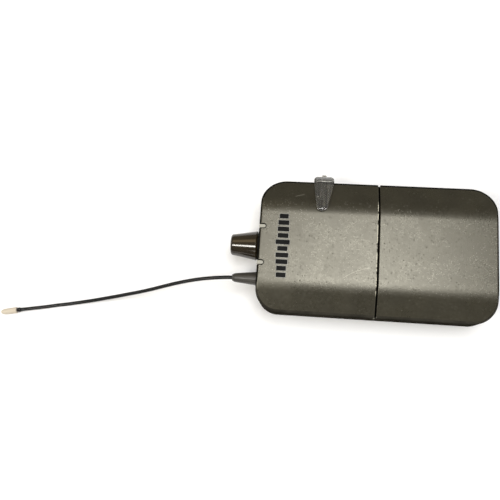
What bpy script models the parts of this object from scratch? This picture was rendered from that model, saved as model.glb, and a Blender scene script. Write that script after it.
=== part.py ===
"""A bodypack radio with a volume knob, a whip antenna, a battery door and a belt clip.

Metres, +Z up.  The pack lies on its back: the front cover faces +Z, the volume knob and the antenna
leave the -X end and the battery door closes the +X half.  The origin is on the flat outer face of the
belt clip, under the middle of the casing.
"""

import math

import bmesh
import bpy
from mathutils import Vector

MM = 0.001
GAP = 0.3 * MM

# ---- Casing -------------------------------------------------------------------------------------
CASE_LENGTH = 108.2 * MM
CASE_WIDTH = 63 * MM
CASE_DEPTH = 21 * MM
# round corners, counter-clockwise from the +X, +Y one
CORNER_RADII = (11.4 * MM, 12.0 * MM, 10.3 * MM, 9.9 * MM)
CORNER_STEPS = 6
WALL = 1.6 * MM
BACK_Z = 6 * MM
FRONT_Z = BACK_Z + CASE_DEPTH
PARTING_Z = BACK_Z + 11 * MM
PARTING_GAP = 0.3 * MM
BACK_EDGE_RADIUS = 3 * MM
END_X = CASE_LENGTH / 2
SIDE_Y = CASE_WIDTH / 2

# The front is flat in the middle and slopes down to both long sides.
FLAT_HALF_WIDTH = 18.5 * MM
FLANK_DROP = 4.8 * MM
FLANK_ANGLE = math.atan2(FLANK_DROP, SIDE_Y - FLAT_HALF_WIDTH)
FLANK_BLEND_RADIUS = 22 * MM
FLANK_BLEND_STEPS = 4

# ---- Seam, bulkhead and door hinge --------------------------------------------------------------
SEAM_X = 0.85 * MM
SEAM_GAP = 0.8 * MM
BULKHEAD_X = (-9.8 * MM, -8.4 * MM)
BULKHEAD_INNER_Y = 1.8 * MM
HINGE_X = END_X - 2.7 * MM
HINGE_Z = BACK_Z + 3.5 * MM
HINGE_ARC_STEPS = 4
BARREL_RADIUS = 2.5 * MM
BARREL_HALF_LENGTH = 14.5 * MM
HOLLOW_LOW_Z = BACK_Z + 5 * MM
HINGE_PIN_RADIUS = 0.9 * MM
HINGE_NOTCH_GAP = 0.35 * MM
HINGE_PIN_INSET = (1.1 * MM, 0.8 * MM)
LUG_OUTER_Y = 18.3 * MM
LUG_REACH = 1.7 * MM
APRON_DEPTH = 1.2 * MM

# ---- Parts on the -X end ------------------------------------------------------------------------
KNOB_BASE_RADIUS = 6.95 * MM
KNOB_TIP_RADIUS = 5.0 * MM
KNOB_LENGTH = 13.2 * MM
KNOB_GAP = 0.6 * MM
KNOB_FACE_X = -END_X - KNOB_GAP
KNOB_SKIRT_RADIUS = 5.9 * MM
KNOB_SKIRT_DEPTH = 3.2 * MM
KNOB_BORE_DEPTH = 10.4 * MM
KNOB_TIP_EDGE = ((1.0 * MM, 0.0), (0.2 * MM, 0.5 * MM), (0.0, 1.3 * MM))
KNOB_BASE_EDGE = ((0.0, 0.4 * MM), (0.2 * MM, 0.0))
SHAFT_RADIUS = 1.9 * MM
BUSHING_RADIUS = 3.1 * MM
POT_NUT_RADIUS = 5.2 * MM
POT_BODY_END_X = -44 * MM
POT_BODY_HALF = 5 * MM
POT_BODY_TOP_Z = PARTING_Z + 4.5 * MM
POT_NUT_THICKNESS = 1.3 * MM
SHAFT_END_X = -50.4 * MM
ANTENNA_Y = -15.9 * MM
BOOT_BASE_RADIUS = 3.2 * MM
BOOT_TIP_RADIUS = 2.0 * MM
BOOT_LENGTH = 11.7 * MM
BOOT_NECK_RADIUS = 2.3 * MM
BOOT_EDGE = 1.0 * MM
BOOT_FLANGE = (0.9 * MM, 1.0 * MM)
JACK_Y = 17 * MM
JACK_BUSHING_RADIUS = 2.9 * MM
JACK_BORE_RADIUS = 1.75 * MM
JACK_HALF = 3.8 * MM
JACK_END_X = -41 * MM
LIGHT_PIPES = {"power": (7.6 * MM, 1.8 * MM), "signal": (-9.6 * MM, 1.9 * MM)}
LIGHT_PIPE_END_X = -51.1 * MM
LIGHT_PIPE_DEPTH = 2.4 * MM
LIGHT_STEM_X = (-51.9 * MM, -50.7 * MM)
LIGHT_STEM_HALF = 0.7 * MM
LIGHT_STEM_OVERLAP = 0.4 * MM
LED_X = (-52.0 * MM, -50.4 * MM)
LED_HALF = 0.8 * MM
LED_HEIGHT = 1.2 * MM

# ---- Antenna whip: a free cord of 0.1 m that lies down from the boot to the surface below --------
WHIP_RADIUS = 0.9 * MM
WHIP_POINT_SPACING = 4.2 * MM
CURVE_STEPS = 8
WHIP_ROUTE = [
    (-0.0664, -0.0159, 0.0170),
    (-0.0697, -0.0161, 0.0169),
    (-0.0752, -0.0166, 0.0165),
    (-0.0810, -0.0173, 0.0157),
    (-0.0869, -0.0183, 0.0145),
    (-0.0930, -0.0196, 0.0131),
    (-0.0991, -0.0211, 0.0115),
    (-0.1053, -0.0227, 0.0097),
    (-0.1116, -0.0242, 0.0080),
    (-0.1180, -0.0255, 0.0063),
    (-0.1244, -0.0268, 0.0047),
    (-0.1309, -0.0281, 0.0033),
    (-0.1374, -0.0294, 0.0021),
    (-0.1438, -0.0306, 0.0013),
    (-0.1500, -0.0318, 0.0010),
    (-0.1562, -0.0329, 0.0010),
    (-0.1623, -0.0341, 0.0010),
    (-0.1685, -0.0352, 0.0012),
    (-0.1745, -0.0363, 0.0016),
]
TIP_CAP_RADIUS = 1.55 * MM
TIP_CAP_LENGTH = 8 * MM
COLLAR_RADIUS = 1.2 * MM
COLLAR_LENGTH = 1.6 * MM
COLLAR_EDGE = 0.3 * MM
# share of the radius, and height, from the tip down to the collar
TIP_CAP_PROFILE = (
    (0.55, TIP_CAP_LENGTH - 0.15 * MM), (0.8, TIP_CAP_LENGTH - 0.7 * MM), (0.92, 0.55 * TIP_CAP_LENGTH),
    (1.0, 1.2 * MM), (1.0, 0.4 * MM), (0.85, 0.0),
)

# ---- Badge: a level meter drawn as a row of bars ------------------------------------------------
BADGE_X = -42.75 * MM
BADGE_Y = (-16.6 * MM, 14.2 * MM)
BADGE_BARS = 10
BADGE_BAR_WIDTH = 2.1 * MM
BADGE_MAX_HALF_HEIGHT = 3.2 * MM
BADGE_MIN_HALF_HEIGHT = 2.0 * MM
BADGE_SWING = 1.9
BADGE_SPINE_HALF = 0.5 * MM
BADGE_DEPTH = 0.6 * MM
BADGE_PROUD = 0.15 * MM

# ---- Batteries ----------------------------------------------------------------------------------
CELL_RADIUS = 7.1 * MM
CELL_BODY = 49.5 * MM
CELL_NUB = 1.0 * MM
CELL_NUB_RADIUS = 2.75 * MM
CELL_Z = BACK_Z + 9.7 * MM
CELL_Y = (-20.6 * MM, -6.0 * MM)
CELL_EDGE = 0.5 * MM
CELL_END_GAP = 0.9 * MM
BAY_X = (-7.2 * MM, 47.8 * MM)
TRAY_Y = (-27.9 * MM, 1.9 * MM)
TRAY_END = (0.8 * MM, 0.6 * MM)
TRAY_TOP_Z = BACK_Z + 12 * MM
TRAY_RIB = 6.6 * MM
CONTACT_SPAN = (0.3 * MM, 0.6 * MM)
CONTACT_HALF = 4 * MM
CONTACT_TOP_Z = CELL_Z + 4.5 * MM
COIL_RADII = (4.4 * MM, 2.4 * MM)
COIL_TURNS = 3
NEGATIVE_COIL_SPAN = (0.6 * MM, 3.0 * MM)
BRIDGE_COIL_SPAN = (1.2 * MM, 3.0 * MM)
SPRING_WIRE_RADIUS = 0.3 * MM
STEPS_PER_TURN = 10

# ---- Boards and controls ------------------------------------------------------------------------
BOARD_Z = (BACK_Z + 5.0 * MM, BACK_Z + 6.2 * MM)
ON_BOARD = BOARD_Z[1] + GAP
BOARD_BATTERY_Y = 2.4 * MM
BOARD_FAR_X = 47 * MM
BOARD_LATCH = ((2 * MM, 16 * MM), (27.6 * MM, SIDE_Y))
SHIELD_CAN = ((-38 * MM, -18 * MM), (-22 * MM, -2 * MM))
SHIELD_CAN_HEIGHT = 3.6 * MM
CHIPS = {
    "radio_chip": ((-35 * MM, -27 * MM), (6 * MM, 14 * MM)),
    "audio_chip": ((-22 * MM, -16 * MM), (8 * MM, 13 * MM)),
}
CHIP_HEIGHT = 1.2 * MM
TERMINAL_X = (-50.7 * MM, -47 * MM)
TERMINAL_RISE = 1.5 * MM
DECK_Z = (BACK_Z + 11.5 * MM, BACK_Z + 12.7 * MM)
DECK_X = (3 * MM, 47 * MM)
DECK_Y = (2.6 * MM, 28.4 * MM)
WINDOW_X = (20 * MM, 44 * MM)
WINDOW_Y = (8 * MM, 22 * MM)
KEYS = {"scan": 10.5 * MM, "set": 19.5 * MM}
KEY_X = 9.5 * MM
KEY_HALF = 2.5 * MM
INFRARED_Y = 15 * MM
INFRARED_X = 16.2 * MM
INFRARED_HALF = (1.5 * MM, 2.5 * MM)
DECK_LEG_HALF = 0.8 * MM
DECK_LEG_X = (DECK_X[0] + 1.5 * MM, DECK_X[1] - 1.5 * MM)
DECK_LEG_Y = (DECK_Y[0] + 1.2 * MM, DECK_Y[1] - 2.0 * MM)
KEY_SINK = 1.2 * MM
KEY_PROUD = 0.7 * MM
KEY_FLANGE = 0.7 * MM
KEY_SWITCH_HALF = 2.2 * MM
KEY_SWITCH_DROP = 2.2 * MM

# ---- Latches, belt clip, screws -----------------------------------------------------------------
LATCH_X = (5 * MM, 13 * MM)
LATCH_Z = (BACK_Z + 4.2 * MM, BACK_Z + 8.8 * MM)
LATCH_DEPTH = 2.7 * MM
LATCH_FLANGE = (1.0 * MM, 0.8 * MM)
CLIP_PIVOT_X = -27 * MM
CLIP_PIVOT_Z = 3.7 * MM
CLIP_PLATE = 1.4 * MM
CLIP_END_X = 26 * MM
CLIP_THUMB_X = -33 * MM
CLIP_HALF_WIDTH = 17 * MM
CLIP_THUMB_HALF = 11 * MM
CLIP_CORNER_RADIUS = 5 * MM
CLIP_EYE_RADIUS = 2.0 * MM
CLIP_PIN_RADIUS = 1.0 * MM
CLIP_LUG_Y = (5.2 * MM, 8.2 * MM)
CLIP_EAR_Y = (8.6 * MM, 10.2 * MM)
CLIP_NECK = 4 * MM
CLIP_THUMB_CORNER = 2 * MM
CLIP_LIP_X = (CLIP_END_X - 2.2 * MM, CLIP_END_X - 0.8 * MM)
CLIP_LIP_HALF = 11 * MM
CLIP_LIP_GAP = 0.7 * MM
CLIP_COIL_RADIUS = 1.65 * MM
CLIP_COIL_HALF = 3.0 * MM
CLIP_COIL_TURNS = 4
CLIP_COIL_LEG = 7 * MM
SCREWS = [(-46 * MM, -24.5 * MM), (-46 * MM, 24.5 * MM), (-14 * MM, -25.8 * MM), (-14 * MM, 25.8 * MM)]
BOSS_RADIUS = 3.0 * MM
SCREW_RADIUS = 1.0 * MM
SCREW_HEAD_RADIUS = 1.9 * MM
SCREW_HOLE_RADIUS = 1.3 * MM
SCREW_TOP_Z = BACK_Z + 14 * MM
SCREW_HEAD_Z = (BACK_Z + 0.3 * MM, BACK_Z + 1.5 * MM)
SCREW_SINK = 1.8 * MM
LABEL_X = (30 * MM, 46 * MM)
LABEL_HALF_WIDTH = 13 * MM
LABEL_THICKNESS = 0.3 * MM

# ---- Clear clip over the +Y edge ----------------------------------------------------------------
CLEAR_CLIP_X = -25.05 * MM
CLEAR_CLIP_HALF_WIDTH = 4.7 * MM
CLEAR_CLIP_TIP_X = -25.5 * MM
CLEAR_CLIP_TIP_HALF_WIDTH = 2.9 * MM
CLEAR_CLIP_TIP_Y = 16.0 * MM
CLEAR_CLIP_CORNER = 3.2 * MM
CLEAR_CLIP_THICKNESS = 1.5 * MM
CLEAR_CLIP_BULGE_Y = 35.4 * MM
CLEAR_CLIP_NUB_Y = 36.5 * MM
CLEAR_CLIP_NUB_HALF = 1.2 * MM
CLEAR_CLIP_FOOT_Y = 26.5 * MM
CLEAR_CLIP_SHOULDER_Y = (18.5 * MM, 20.5 * MM, 22.2 * MM)
CLEAR_CLIP_ELBOW_Y = 30 * MM
CLEAR_CLIP_SIDE_Y = SIDE_Y + GAP
CLEAR_CLIP_NUB_Z = (PARTING_Z - 2.5 * MM, PARTING_Z + 0.5 * MM)
# Y-Z points down its inner side and back up its outer side, below the front
CLEAR_CLIP_INNER = [
    (CLEAR_CLIP_SIDE_Y, BACK_Z + 2.8 * MM),
    (CLEAR_CLIP_SIDE_Y - 0.9 * MM, BACK_Z + 0.5 * MM),
    (CLEAR_CLIP_SIDE_Y - 3 * MM, BACK_Z - GAP),
    (CLEAR_CLIP_FOOT_Y, BACK_Z - GAP),
]
CLEAR_CLIP_OUTER = [
    (CLEAR_CLIP_FOOT_Y, BACK_Z - GAP - CLEAR_CLIP_THICKNESS),
    (CLEAR_CLIP_SIDE_Y - 2 * MM, BACK_Z - GAP - CLEAR_CLIP_THICKNESS),
    (CLEAR_CLIP_SIDE_Y + 0.6 * MM, BACK_Z - 0.4 * MM),
    (CLEAR_CLIP_SIDE_Y + 1.7 * MM, BACK_Z + 2.5 * MM),
    (CLEAR_CLIP_BULGE_Y - 0.5 * MM, BACK_Z + 6 * MM),
    (CLEAR_CLIP_BULGE_Y, PARTING_Z - 1 * MM),
    (CLEAR_CLIP_BULGE_Y - 0.4 * MM, BACK_Z + 14 * MM),
    (CLEAR_CLIP_SIDE_Y + 0.7 * MM, BACK_Z + 17.3 * MM),
]


# ---- Scene and materials ------------------------------------------------------------------------
def clear_scene():
    for obj in list(bpy.data.objects):
        bpy.data.objects.remove(obj, do_unlink=True)


def new_collection(name):
    collection = bpy.data.collections.new(name)
    bpy.context.scene.collection.children.link(collection)
    return collection


clear_scene()
PARTS = new_collection("bodypack_radio")
CUTTERS = new_collection("cutters")

FINISHES = {
    "casing_plastic": {"color": (0.060, 0.056, 0.046), "roughness": 0.45},
    "gloss_black": {"color": (0.010, 0.009, 0.008), "roughness": 0.12},
    "black_rubber": {"color": (0.022, 0.021, 0.020), "roughness": 0.55},
    "whip_sleeve": {"color": (0.012, 0.012, 0.012), "roughness": 0.40},
    "cream_plastic": {"color": (0.72, 0.66, 0.52), "roughness": 0.45},
    "milky_plastic": {"color": (0.78, 0.77, 0.70), "roughness": 0.25},
    "clear_plastic": {"color": (0.80, 0.80, 0.76), "roughness": 0.08, "alpha": 0.35},
    "display_glass": {"color": (0.35, 0.38, 0.34), "roughness": 0.06, "alpha": 0.5},
    "infrared_plastic": {"color": (0.05, 0.01, 0.015), "roughness": 0.1},
    "dark_plastic": {"color": (0.030, 0.030, 0.030), "roughness": 0.5},
    "grey_plastic": {"color": (0.25, 0.25, 0.25), "roughness": 0.5},
    "steel": {"color": (0.55, 0.55, 0.54), "roughness": 0.3, "metallic": 1.0},
    "brass": {"color": (0.70, 0.55, 0.28), "roughness": 0.3, "metallic": 1.0},
    "circuit_board": {"color": (0.02, 0.12, 0.05), "roughness": 0.4},
    "cell_wrap": {"color": (0.05, 0.09, 0.16), "roughness": 0.3},
    "label_film": {"color": (0.55, 0.55, 0.53), "roughness": 0.6},
}


def make_material(name, color, roughness, metallic=0.0, alpha=1.0):
    material = bpy.data.materials.new(name)
    material.use_nodes = True
    shader = material.node_tree.nodes["Principled BSDF"]
    shader.inputs["Base Color"].default_value = (*color, 1.0)
    shader.inputs["Roughness"].default_value = roughness
    shader.inputs["Metallic"].default_value = metallic
    shader.inputs["Alpha"].default_value = alpha
    return material


MATERIALS = {name: make_material(name, **values) for name, values in FINISHES.items()}


# ---- Shape tools --------------------------------------------------------------------------------
ALONG = {
    "X": (0.0, math.pi / 2, 0.0),
    "Y": (-math.pi / 2, 0.0, 0.0),
    "Z": (0.0, 0.0, 0.0),
    "-X": (0.0, -math.pi / 2, 0.0),
}


def add_object(name, data, finish=None):
    """Link a new object: with a finish it is a part, without one it is a cutter."""
    obj = bpy.data.objects.new(name, data)
    if finish:
        PARTS.objects.link(obj)
        data.materials.append(MATERIALS[finish])
    else:
        CUTTERS.objects.link(obj)
        obj.hide_render = True
        obj.display_type = "WIRE"
    return obj


def mesh_object(name, bm, finish=None, smooth=True):
    mesh = bpy.data.meshes.new(name)
    bm.to_mesh(mesh)
    bm.free()
    if smooth:
        mesh.shade_smooth()
        mesh.set_sharp_from_angle(angle=math.radians(30))
    return add_object(name, mesh, finish)


def block(name, x, y, z, finish=None):
    """A box between two values on each axis."""
    bm = bmesh.new()
    bmesh.ops.create_cube(bm, size=1.0)
    bmesh.ops.scale(bm, vec=(x[1] - x[0], y[1] - y[0], z[1] - z[0]), verts=bm.verts)
    obj = mesh_object(name, bm, finish, smooth=False)
    obj.location = ((x[0] + x[1]) / 2, (y[0] + y[1]) / 2, (z[0] + z[1]) / 2)
    return obj


def rod(name, axis, start, end, centre, radius, finish=None, segments=24):
    """A round bar along an axis; centre holds its other two coordinates in X, Y, Z order."""
    bm = bmesh.new()
    bmesh.ops.create_cone(
        bm, cap_ends=True, segments=segments, radius1=radius, radius2=radius, depth=end - start
    )
    obj = mesh_object(name, bm, finish)
    middle = (start + end) / 2
    places = {
        "X": (middle, *centre),
        "Y": (centre[0], middle, centre[1]),
        "Z": (*centre, middle),
    }
    obj.location = places[axis]
    obj.rotation_euler = ALONG[axis]
    return obj


def turned(name, profile, location, axis, finish=None, steps=24):
    """A turned shape: profile runs (radius, height) down its outer side, top to bottom."""
    bm = bmesh.new()
    verts = [bm.verts.new((radius, 0.0, height)) for radius, height in profile]
    for upper, lower in zip(verts, verts[1:]):
        bm.edges.new((upper, lower))
    obj = mesh_object(name, bm, finish, smooth=False)
    screw = obj.modifiers.new("Turn", "SCREW")
    screw.steps = screw.render_steps = steps
    screw.use_merge_vertices = True
    screw.merge_threshold = 0.00001
    obj.location = location
    obj.rotation_euler = ALONG[axis]
    return obj


def smooth_line(points, spacing):
    """Points about one spacing apart on a Catmull-Rom curve through the given ones."""
    knots = [Vector(p) for p in points]
    knots = [2 * knots[0] - knots[1], *knots, 2 * knots[-1] - knots[-2]]
    fine = []
    for a, b, c, d in zip(knots, knots[1:], knots[2:], knots[3:]):
        for k in range(CURVE_STEPS):
            t = k / CURVE_STEPS
            fine.append(
                0.5 * (2 * b + (c - a) * t + (2 * a - 5 * b + 4 * c - d) * t**2
                       + (3 * b - a - 3 * c + d) * t**3)
            )
    fine.append(knots[-2])
    total = sum((q - p).length for p, q in zip(fine, fine[1:]))
    step = total / round(total / spacing)
    line, walked = [fine[0]], 0.0
    for p, q in zip(fine, fine[1:]):
        length = (q - p).length
        while walked + length >= step * len(line) - 1e-9 and step * len(line) < total - step / 2:
            line.append(p.lerp(q, (step * len(line) - walked) / length))
        walked += length
    return line + [fine[-1]]


def wire(name, points, radius, finish):
    """A round wire through the points, with closed ends."""
    curve = bpy.data.curves.new(name, "CURVE")
    curve.dimensions = "3D"
    curve.bevel_depth = radius
    curve.bevel_resolution = 2
    curve.use_fill_caps = True
    spline = curve.splines.new("POLY")
    spline.points.add(len(points) - 1)
    for target, point in zip(spline.points, points):
        target.co = (*point, 1.0)
    return add_object(name, curve, finish)


def prism(name, outline, low, high, axis="Z", finish=None, round_bottom=0.0):
    """A solid with a flat outline: X-Y points along Z, Y-Z points along X, X-Z points along Y."""
    curve = bpy.data.curves.new(name + "_outline", "CURVE")
    curve.dimensions = "2D"
    curve.fill_mode = "BOTH"
    curve.extrude = (high - low) / 2
    spline = curve.splines.new("POLY")
    spline.points.add(len(outline) - 1)
    for target, (u, v) in zip(spline.points, outline):
        target.co = (u, v, 0.0, 1.0)
    spline.use_cyclic_u = True
    drawn = bpy.data.objects.new(name + "_outline", curve)
    CUTTERS.objects.link(drawn)
    evaluated = drawn.evaluated_get(bpy.context.evaluated_depsgraph_get())
    flat = bpy.data.meshes.new_from_object(evaluated)
    bpy.data.objects.remove(drawn, do_unlink=True)
    bm = bmesh.new()
    bm.from_mesh(flat)
    bpy.data.meshes.remove(flat)
    bmesh.ops.remove_doubles(bm, verts=bm.verts, dist=0.000001)
    bmesh.ops.dissolve_limit(bm, angle_limit=0.001, verts=bm.verts, edges=bm.edges)
    bmesh.ops.recalc_face_normals(bm, faces=bm.faces)
    if round_bottom:
        weight = bm.edges.layers.float.new("bevel_weight_edge")
        for edge in bm.edges:
            edge[weight] = 1.0 if all(v.co.z < 0 for v in edge.verts) else 0.0
    obj = mesh_object(name, bm, finish)
    middle = (low + high) / 2
    if axis == "X":
        obj.rotation_euler = (math.pi / 2, 0.0, math.pi / 2)
        obj.location = (middle, 0.0, 0.0)
    elif axis == "Y":
        obj.rotation_euler = (math.pi / 2, 0.0, 0.0)
        obj.location = (0.0, middle, 0.0)
    else:
        obj.location = (0.0, 0.0, middle)
    if round_bottom:
        bevel = obj.modifiers.new("Rounded edge", "BEVEL")
        bevel.limit_method = "WEIGHT"
        bevel.width = round_bottom
        bevel.segments = 3
    return obj


def combine(obj, operation, *others):
    """Boolean the other objects with this one, in order."""
    for other in others:
        modifier = obj.modifiers.new(operation.title(), "BOOLEAN")
        modifier.operation = operation
        modifier.solver = "EXACT"
        modifier.object = other


def cut(obj, *others):
    combine(obj, "DIFFERENCE", *others)


def join(obj, *others):
    combine(obj, "UNION", *others)


def keep(obj, *others):
    combine(obj, "INTERSECT", *others)


def pivot(name, location, *objects):
    """An empty on a joint's axis that carries the moving pieces."""
    empty = bpy.data.objects.new(name, None)
    empty.empty_display_size = 5 * MM
    empty.location = location
    PARTS.objects.link(empty)
    for obj in objects:
        obj.parent = empty
        obj.location = obj.location - Vector(location)
    return empty


# ---- Outlines -----------------------------------------------------------------------------------
def rounded_rectangle(low, high, radii, steps):
    """X-Y outline of a rectangle with four round corners, counter-clockwise from +X, +Y."""
    points = []
    corners = [(high[0], high[1]), (low[0], high[1]), (low[0], low[1]), (high[0], low[1])]
    inward = [(-1, -1), (1, -1), (1, 1), (-1, 1)]
    for quarter, ((x, y), (turn_x, turn_y), radius) in enumerate(zip(corners, inward, radii)):
        for k in range(steps + 1):
            angle = (quarter + k / steps) * math.pi / 2
            points.append((x + radius * (turn_x + math.cos(angle)),
                           y + radius * (turn_y + math.sin(angle))))
    return points


def case_outline(inset):
    return rounded_rectangle(
        (-END_X + inset, -SIDE_Y + inset), (END_X - inset, SIDE_Y - inset),
        [radius - inset for radius in CORNER_RADII], CORNER_STEPS,
    )


def front_height(y, lift=0.0):
    """Height of the front surface at a given Y."""
    tangent = FLANK_BLEND_RADIUS * math.tan(FLANK_ANGLE / 2)
    start = FLAT_HALF_WIDTH - tangent
    end = start + FLANK_BLEND_RADIUS * math.sin(FLANK_ANGLE)
    y = abs(y)
    if y <= start:
        drop = 0.0
    elif y <= end:
        drop = FLANK_BLEND_RADIUS - math.sqrt(FLANK_BLEND_RADIUS**2 - (y - start) ** 2)
    else:
        drop = (y - FLAT_HALF_WIDTH) * math.tan(FLANK_ANGLE)
    return FRONT_Z - drop + lift


def front_profile(lift, bottom):
    """Y-Z outline under the front surface, which is moved up by lift."""
    tangent = FLANK_BLEND_RADIUS * math.tan(FLANK_ANGLE / 2)
    start = FLAT_HALF_WIDTH - tangent
    half = [
        start + FLANK_BLEND_RADIUS * math.sin(FLANK_ANGLE * k / FLANK_BLEND_STEPS)
        for k in range(FLANK_BLEND_STEPS + 1)
    ]
    half.append(SIDE_Y + 2 * MM)
    top = [(y, front_height(y, lift)) for y in [-y for y in reversed(half)] + half]
    return [(-half[-1], bottom), (half[-1], bottom)] + top[::-1]


def split_profile(offset, top):
    """X-Z outline above the parting line moved up by offset; past the hinge the line is an arc."""
    radius = PARTING_Z - HINGE_Z + offset
    reach = math.asin((END_X + 1 * MM - HINGE_X) / radius)
    arc = [
        (HINGE_X + radius * math.sin(reach * k / HINGE_ARC_STEPS),
         HINGE_Z + radius * math.cos(reach * k / HINGE_ARC_STEPS))
        for k in range(HINGE_ARC_STEPS + 1)
    ]
    far = END_X + 1 * MM
    return [(-far, PARTING_Z + offset)] + arc + [(far, top), (-far, top)]


# ---- Casing -------------------------------------------------------------------------------------
def end_wall_holes(name):
    """Cutters for the bushing, socket and boot holes, which both halves share."""
    reach = (-END_X - 3 * MM, -END_X + WALL + 1 * MM)
    holes = {
        "knob": (0.0, BUSHING_RADIUS + GAP),
        "jack": (JACK_Y, JACK_BUSHING_RADIUS + GAP),
        "boot": (ANTENNA_Y, BOOT_NECK_RADIUS + GAP),
    }
    return [
        rod(f"{name}_{hole}_hole", "X", *reach, (y, PARTING_Z), radius)
        for hole, (y, radius) in holes.items()
    ]


def inner_space(name, x, low, high):
    """The hollow between two X values, one wall inside the casing's outer surface."""
    space = prism(name, case_outline(WALL), low, high)
    keep(space, prism(name + "_roof", front_profile(-WALL, low - 1 * MM), *x, axis="X"))
    return space


def make_rear_shell():
    shell = prism(
        "rear_shell", case_outline(0.0), BACK_Z, FRONT_Z, finish="casing_plastic",
        round_bottom=BACK_EDGE_RADIUS,
    )
    above = split_profile(-PARTING_GAP / 2, FRONT_Z + 2 * MM)
    cut(shell, prism("rear_top_cutter", above, -SIDE_Y - MM, SIDE_Y + MM, axis="Y"))
    cut(shell, prism("rear_hollow", case_outline(WALL), BACK_Z + WALL, FRONT_Z + MM))

    rim = PARTING_Z - PARTING_GAP / 2
    floor = BACK_Z + WALL / 2
    across = (-SIDE_Y + WALL / 2, BULKHEAD_INNER_Y)
    join(shell, block("rear_bulkhead", BULKHEAD_X, across, (floor, rim - MM)))
    for k, (x, y) in enumerate(SCREWS):
        join(shell, rod(f"rear_boss_{k}", "Z", floor, rim - MM / 2, (x, y), BOSS_RADIUS))
    for side, name in ((-1, "a"), (1, "b")):
        inner, outer = sorted((side * (BARREL_HALF_LENGTH + GAP), side * LUG_OUTER_Y))
        join(shell, block(
            f"hinge_lug_{name}", (HINGE_X - BARREL_RADIUS, HINGE_X + LUG_REACH), (inner, outer),
            (floor, HINGE_Z + BARREL_RADIUS),
        ))
        low, high = sorted(side * y for y in CLIP_LUG_Y)
        root = BACK_Z + WALL / 2
        join(shell, block(
            f"clip_lug_{name}", (CLIP_PIVOT_X - CLIP_EYE_RADIUS, CLIP_PIVOT_X + CLIP_EYE_RADIUS),
            (low, high), (CLIP_PIVOT_Z, root),
        ))
        join(shell, rod(
            f"clip_lug_eye_{name}", "Y", low + MM / 10, high - MM / 10,
            (CLIP_PIVOT_X, CLIP_PIVOT_Z), CLIP_EYE_RADIUS - MM / 10, segments=16,
        ))

    notch_y = (-BARREL_HALF_LENGTH - GAP, BARREL_HALF_LENGTH + GAP)
    notch_radius = BARREL_RADIUS + HINGE_NOTCH_GAP
    cut(shell, rod("hinge_notch_round", "Y", *notch_y, (HINGE_X, HINGE_Z), notch_radius))
    cut(shell, block(
        "hinge_notch", (HINGE_X, END_X + MM), notch_y, (HINGE_Z - notch_radius, FRONT_Z)
    ))
    pin_reach = LUG_OUTER_Y - HINGE_PIN_INSET[1]
    pin_hole = HINGE_PIN_RADIUS + GAP
    cut(shell, rod("hinge_pin_hole", "Y", -pin_reach, pin_reach, (HINGE_X, HINGE_Z), pin_hole,
                   segments=16))
    cut(shell, rod("clip_pin_hole", "Y", -CLIP_LUG_Y[1] - MM, CLIP_LUG_Y[1] + MM,
                   (CLIP_PIVOT_X, CLIP_PIVOT_Z), CLIP_PIN_RADIUS + GAP, segments=16))
    cut(shell, *end_wall_holes("rear"))
    for k, (x, y) in enumerate(SCREWS):
        cut(shell, rod(f"rear_screw_hole_{k}", "Z", BACK_Z - MM, PARTING_Z, (x, y),
                       SCREW_HOLE_RADIUS, segments=16))
        cut(shell, rod(f"rear_screw_sink_{k}", "Z", BACK_Z - MM, BACK_Z + SCREW_SINK, (x, y),
                       SCREW_HEAD_RADIUS + GAP, segments=16))
    for side, name in ((-1, "a"), (1, "b")):
        wall = sorted((side * (SIDE_Y - WALL - MM), side * (SIDE_Y + MM)))
        cut(shell, block(f"latch_slot_{name}", (LATCH_X[0] - GAP, LATCH_X[1] + GAP), wall,
                         (LATCH_Z[0] - GAP, LATCH_Z[1] + GAP)))
    reach = LABEL_HALF_WIDTH + GAP
    cut(shell, block("label_recess", (LABEL_X[0] - GAP, LABEL_X[1] + GAP), (-reach, reach),
                     (BACK_Z - MM, BACK_Z + LABEL_THICKNESS + GAP)))
    return shell


def outer_front(name, x):
    """The front half of the casing between two X values, solid, down to the parting line."""
    shell = prism(name, case_outline(0.0), BACK_Z, FRONT_Z + MM, finish="casing_plastic")
    keep(shell, prism(name + "_front", front_profile(0.0, BACK_Z - MM), *x, axis="X"))
    above = split_profile(PARTING_GAP / 2, FRONT_Z + 2 * MM)
    keep(shell, prism(name + "_above", above, -SIDE_Y - MM, SIDE_Y + MM, axis="Y"))
    return shell


def make_front_cover(battery_space):
    far = END_X + 2 * MM
    shell = outer_front("front_cover", (-far, SEAM_X - SEAM_GAP / 2))
    radio_space = inner_space("radio_space", (-far, BULKHEAD_X[0]), HOLLOW_LOW_Z, FRONT_Z)
    cut(shell, radio_space, battery_space)
    for k, (x, y) in enumerate(SCREWS):
        roof = front_height(abs(y) + BOSS_RADIUS, -WALL / 2)
        join(shell, rod(f"cover_boss_{k}", "Z", PARTING_Z + MM / 2, roof, (x, y), BOSS_RADIUS))
        cut(shell, rod(f"cover_screw_hole_{k}", "Z", PARTING_Z, SCREW_TOP_Z + MM / 2, (x, y),
                       SCREW_HOLE_RADIUS, segments=16))
    cut(shell, *end_wall_holes("cover"))
    for name, (y, width) in LIGHT_PIPES.items():
        half = width / 2 + GAP
        cut(shell, block(f"{name}_pipe_slot", (-END_X - MM, LIGHT_PIPE_END_X + GAP), (y - half, y + half),
                         (FRONT_Z - LIGHT_PIPE_DEPTH - GAP, FRONT_Z + MM)))
    pocket = badge_outline(GAP)
    cut(shell, prism("badge_pocket", pocket, FRONT_Z - BADGE_DEPTH - GAP, FRONT_Z + MM))
    shell.modifiers[-1].use_self = True
    return shell


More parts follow.
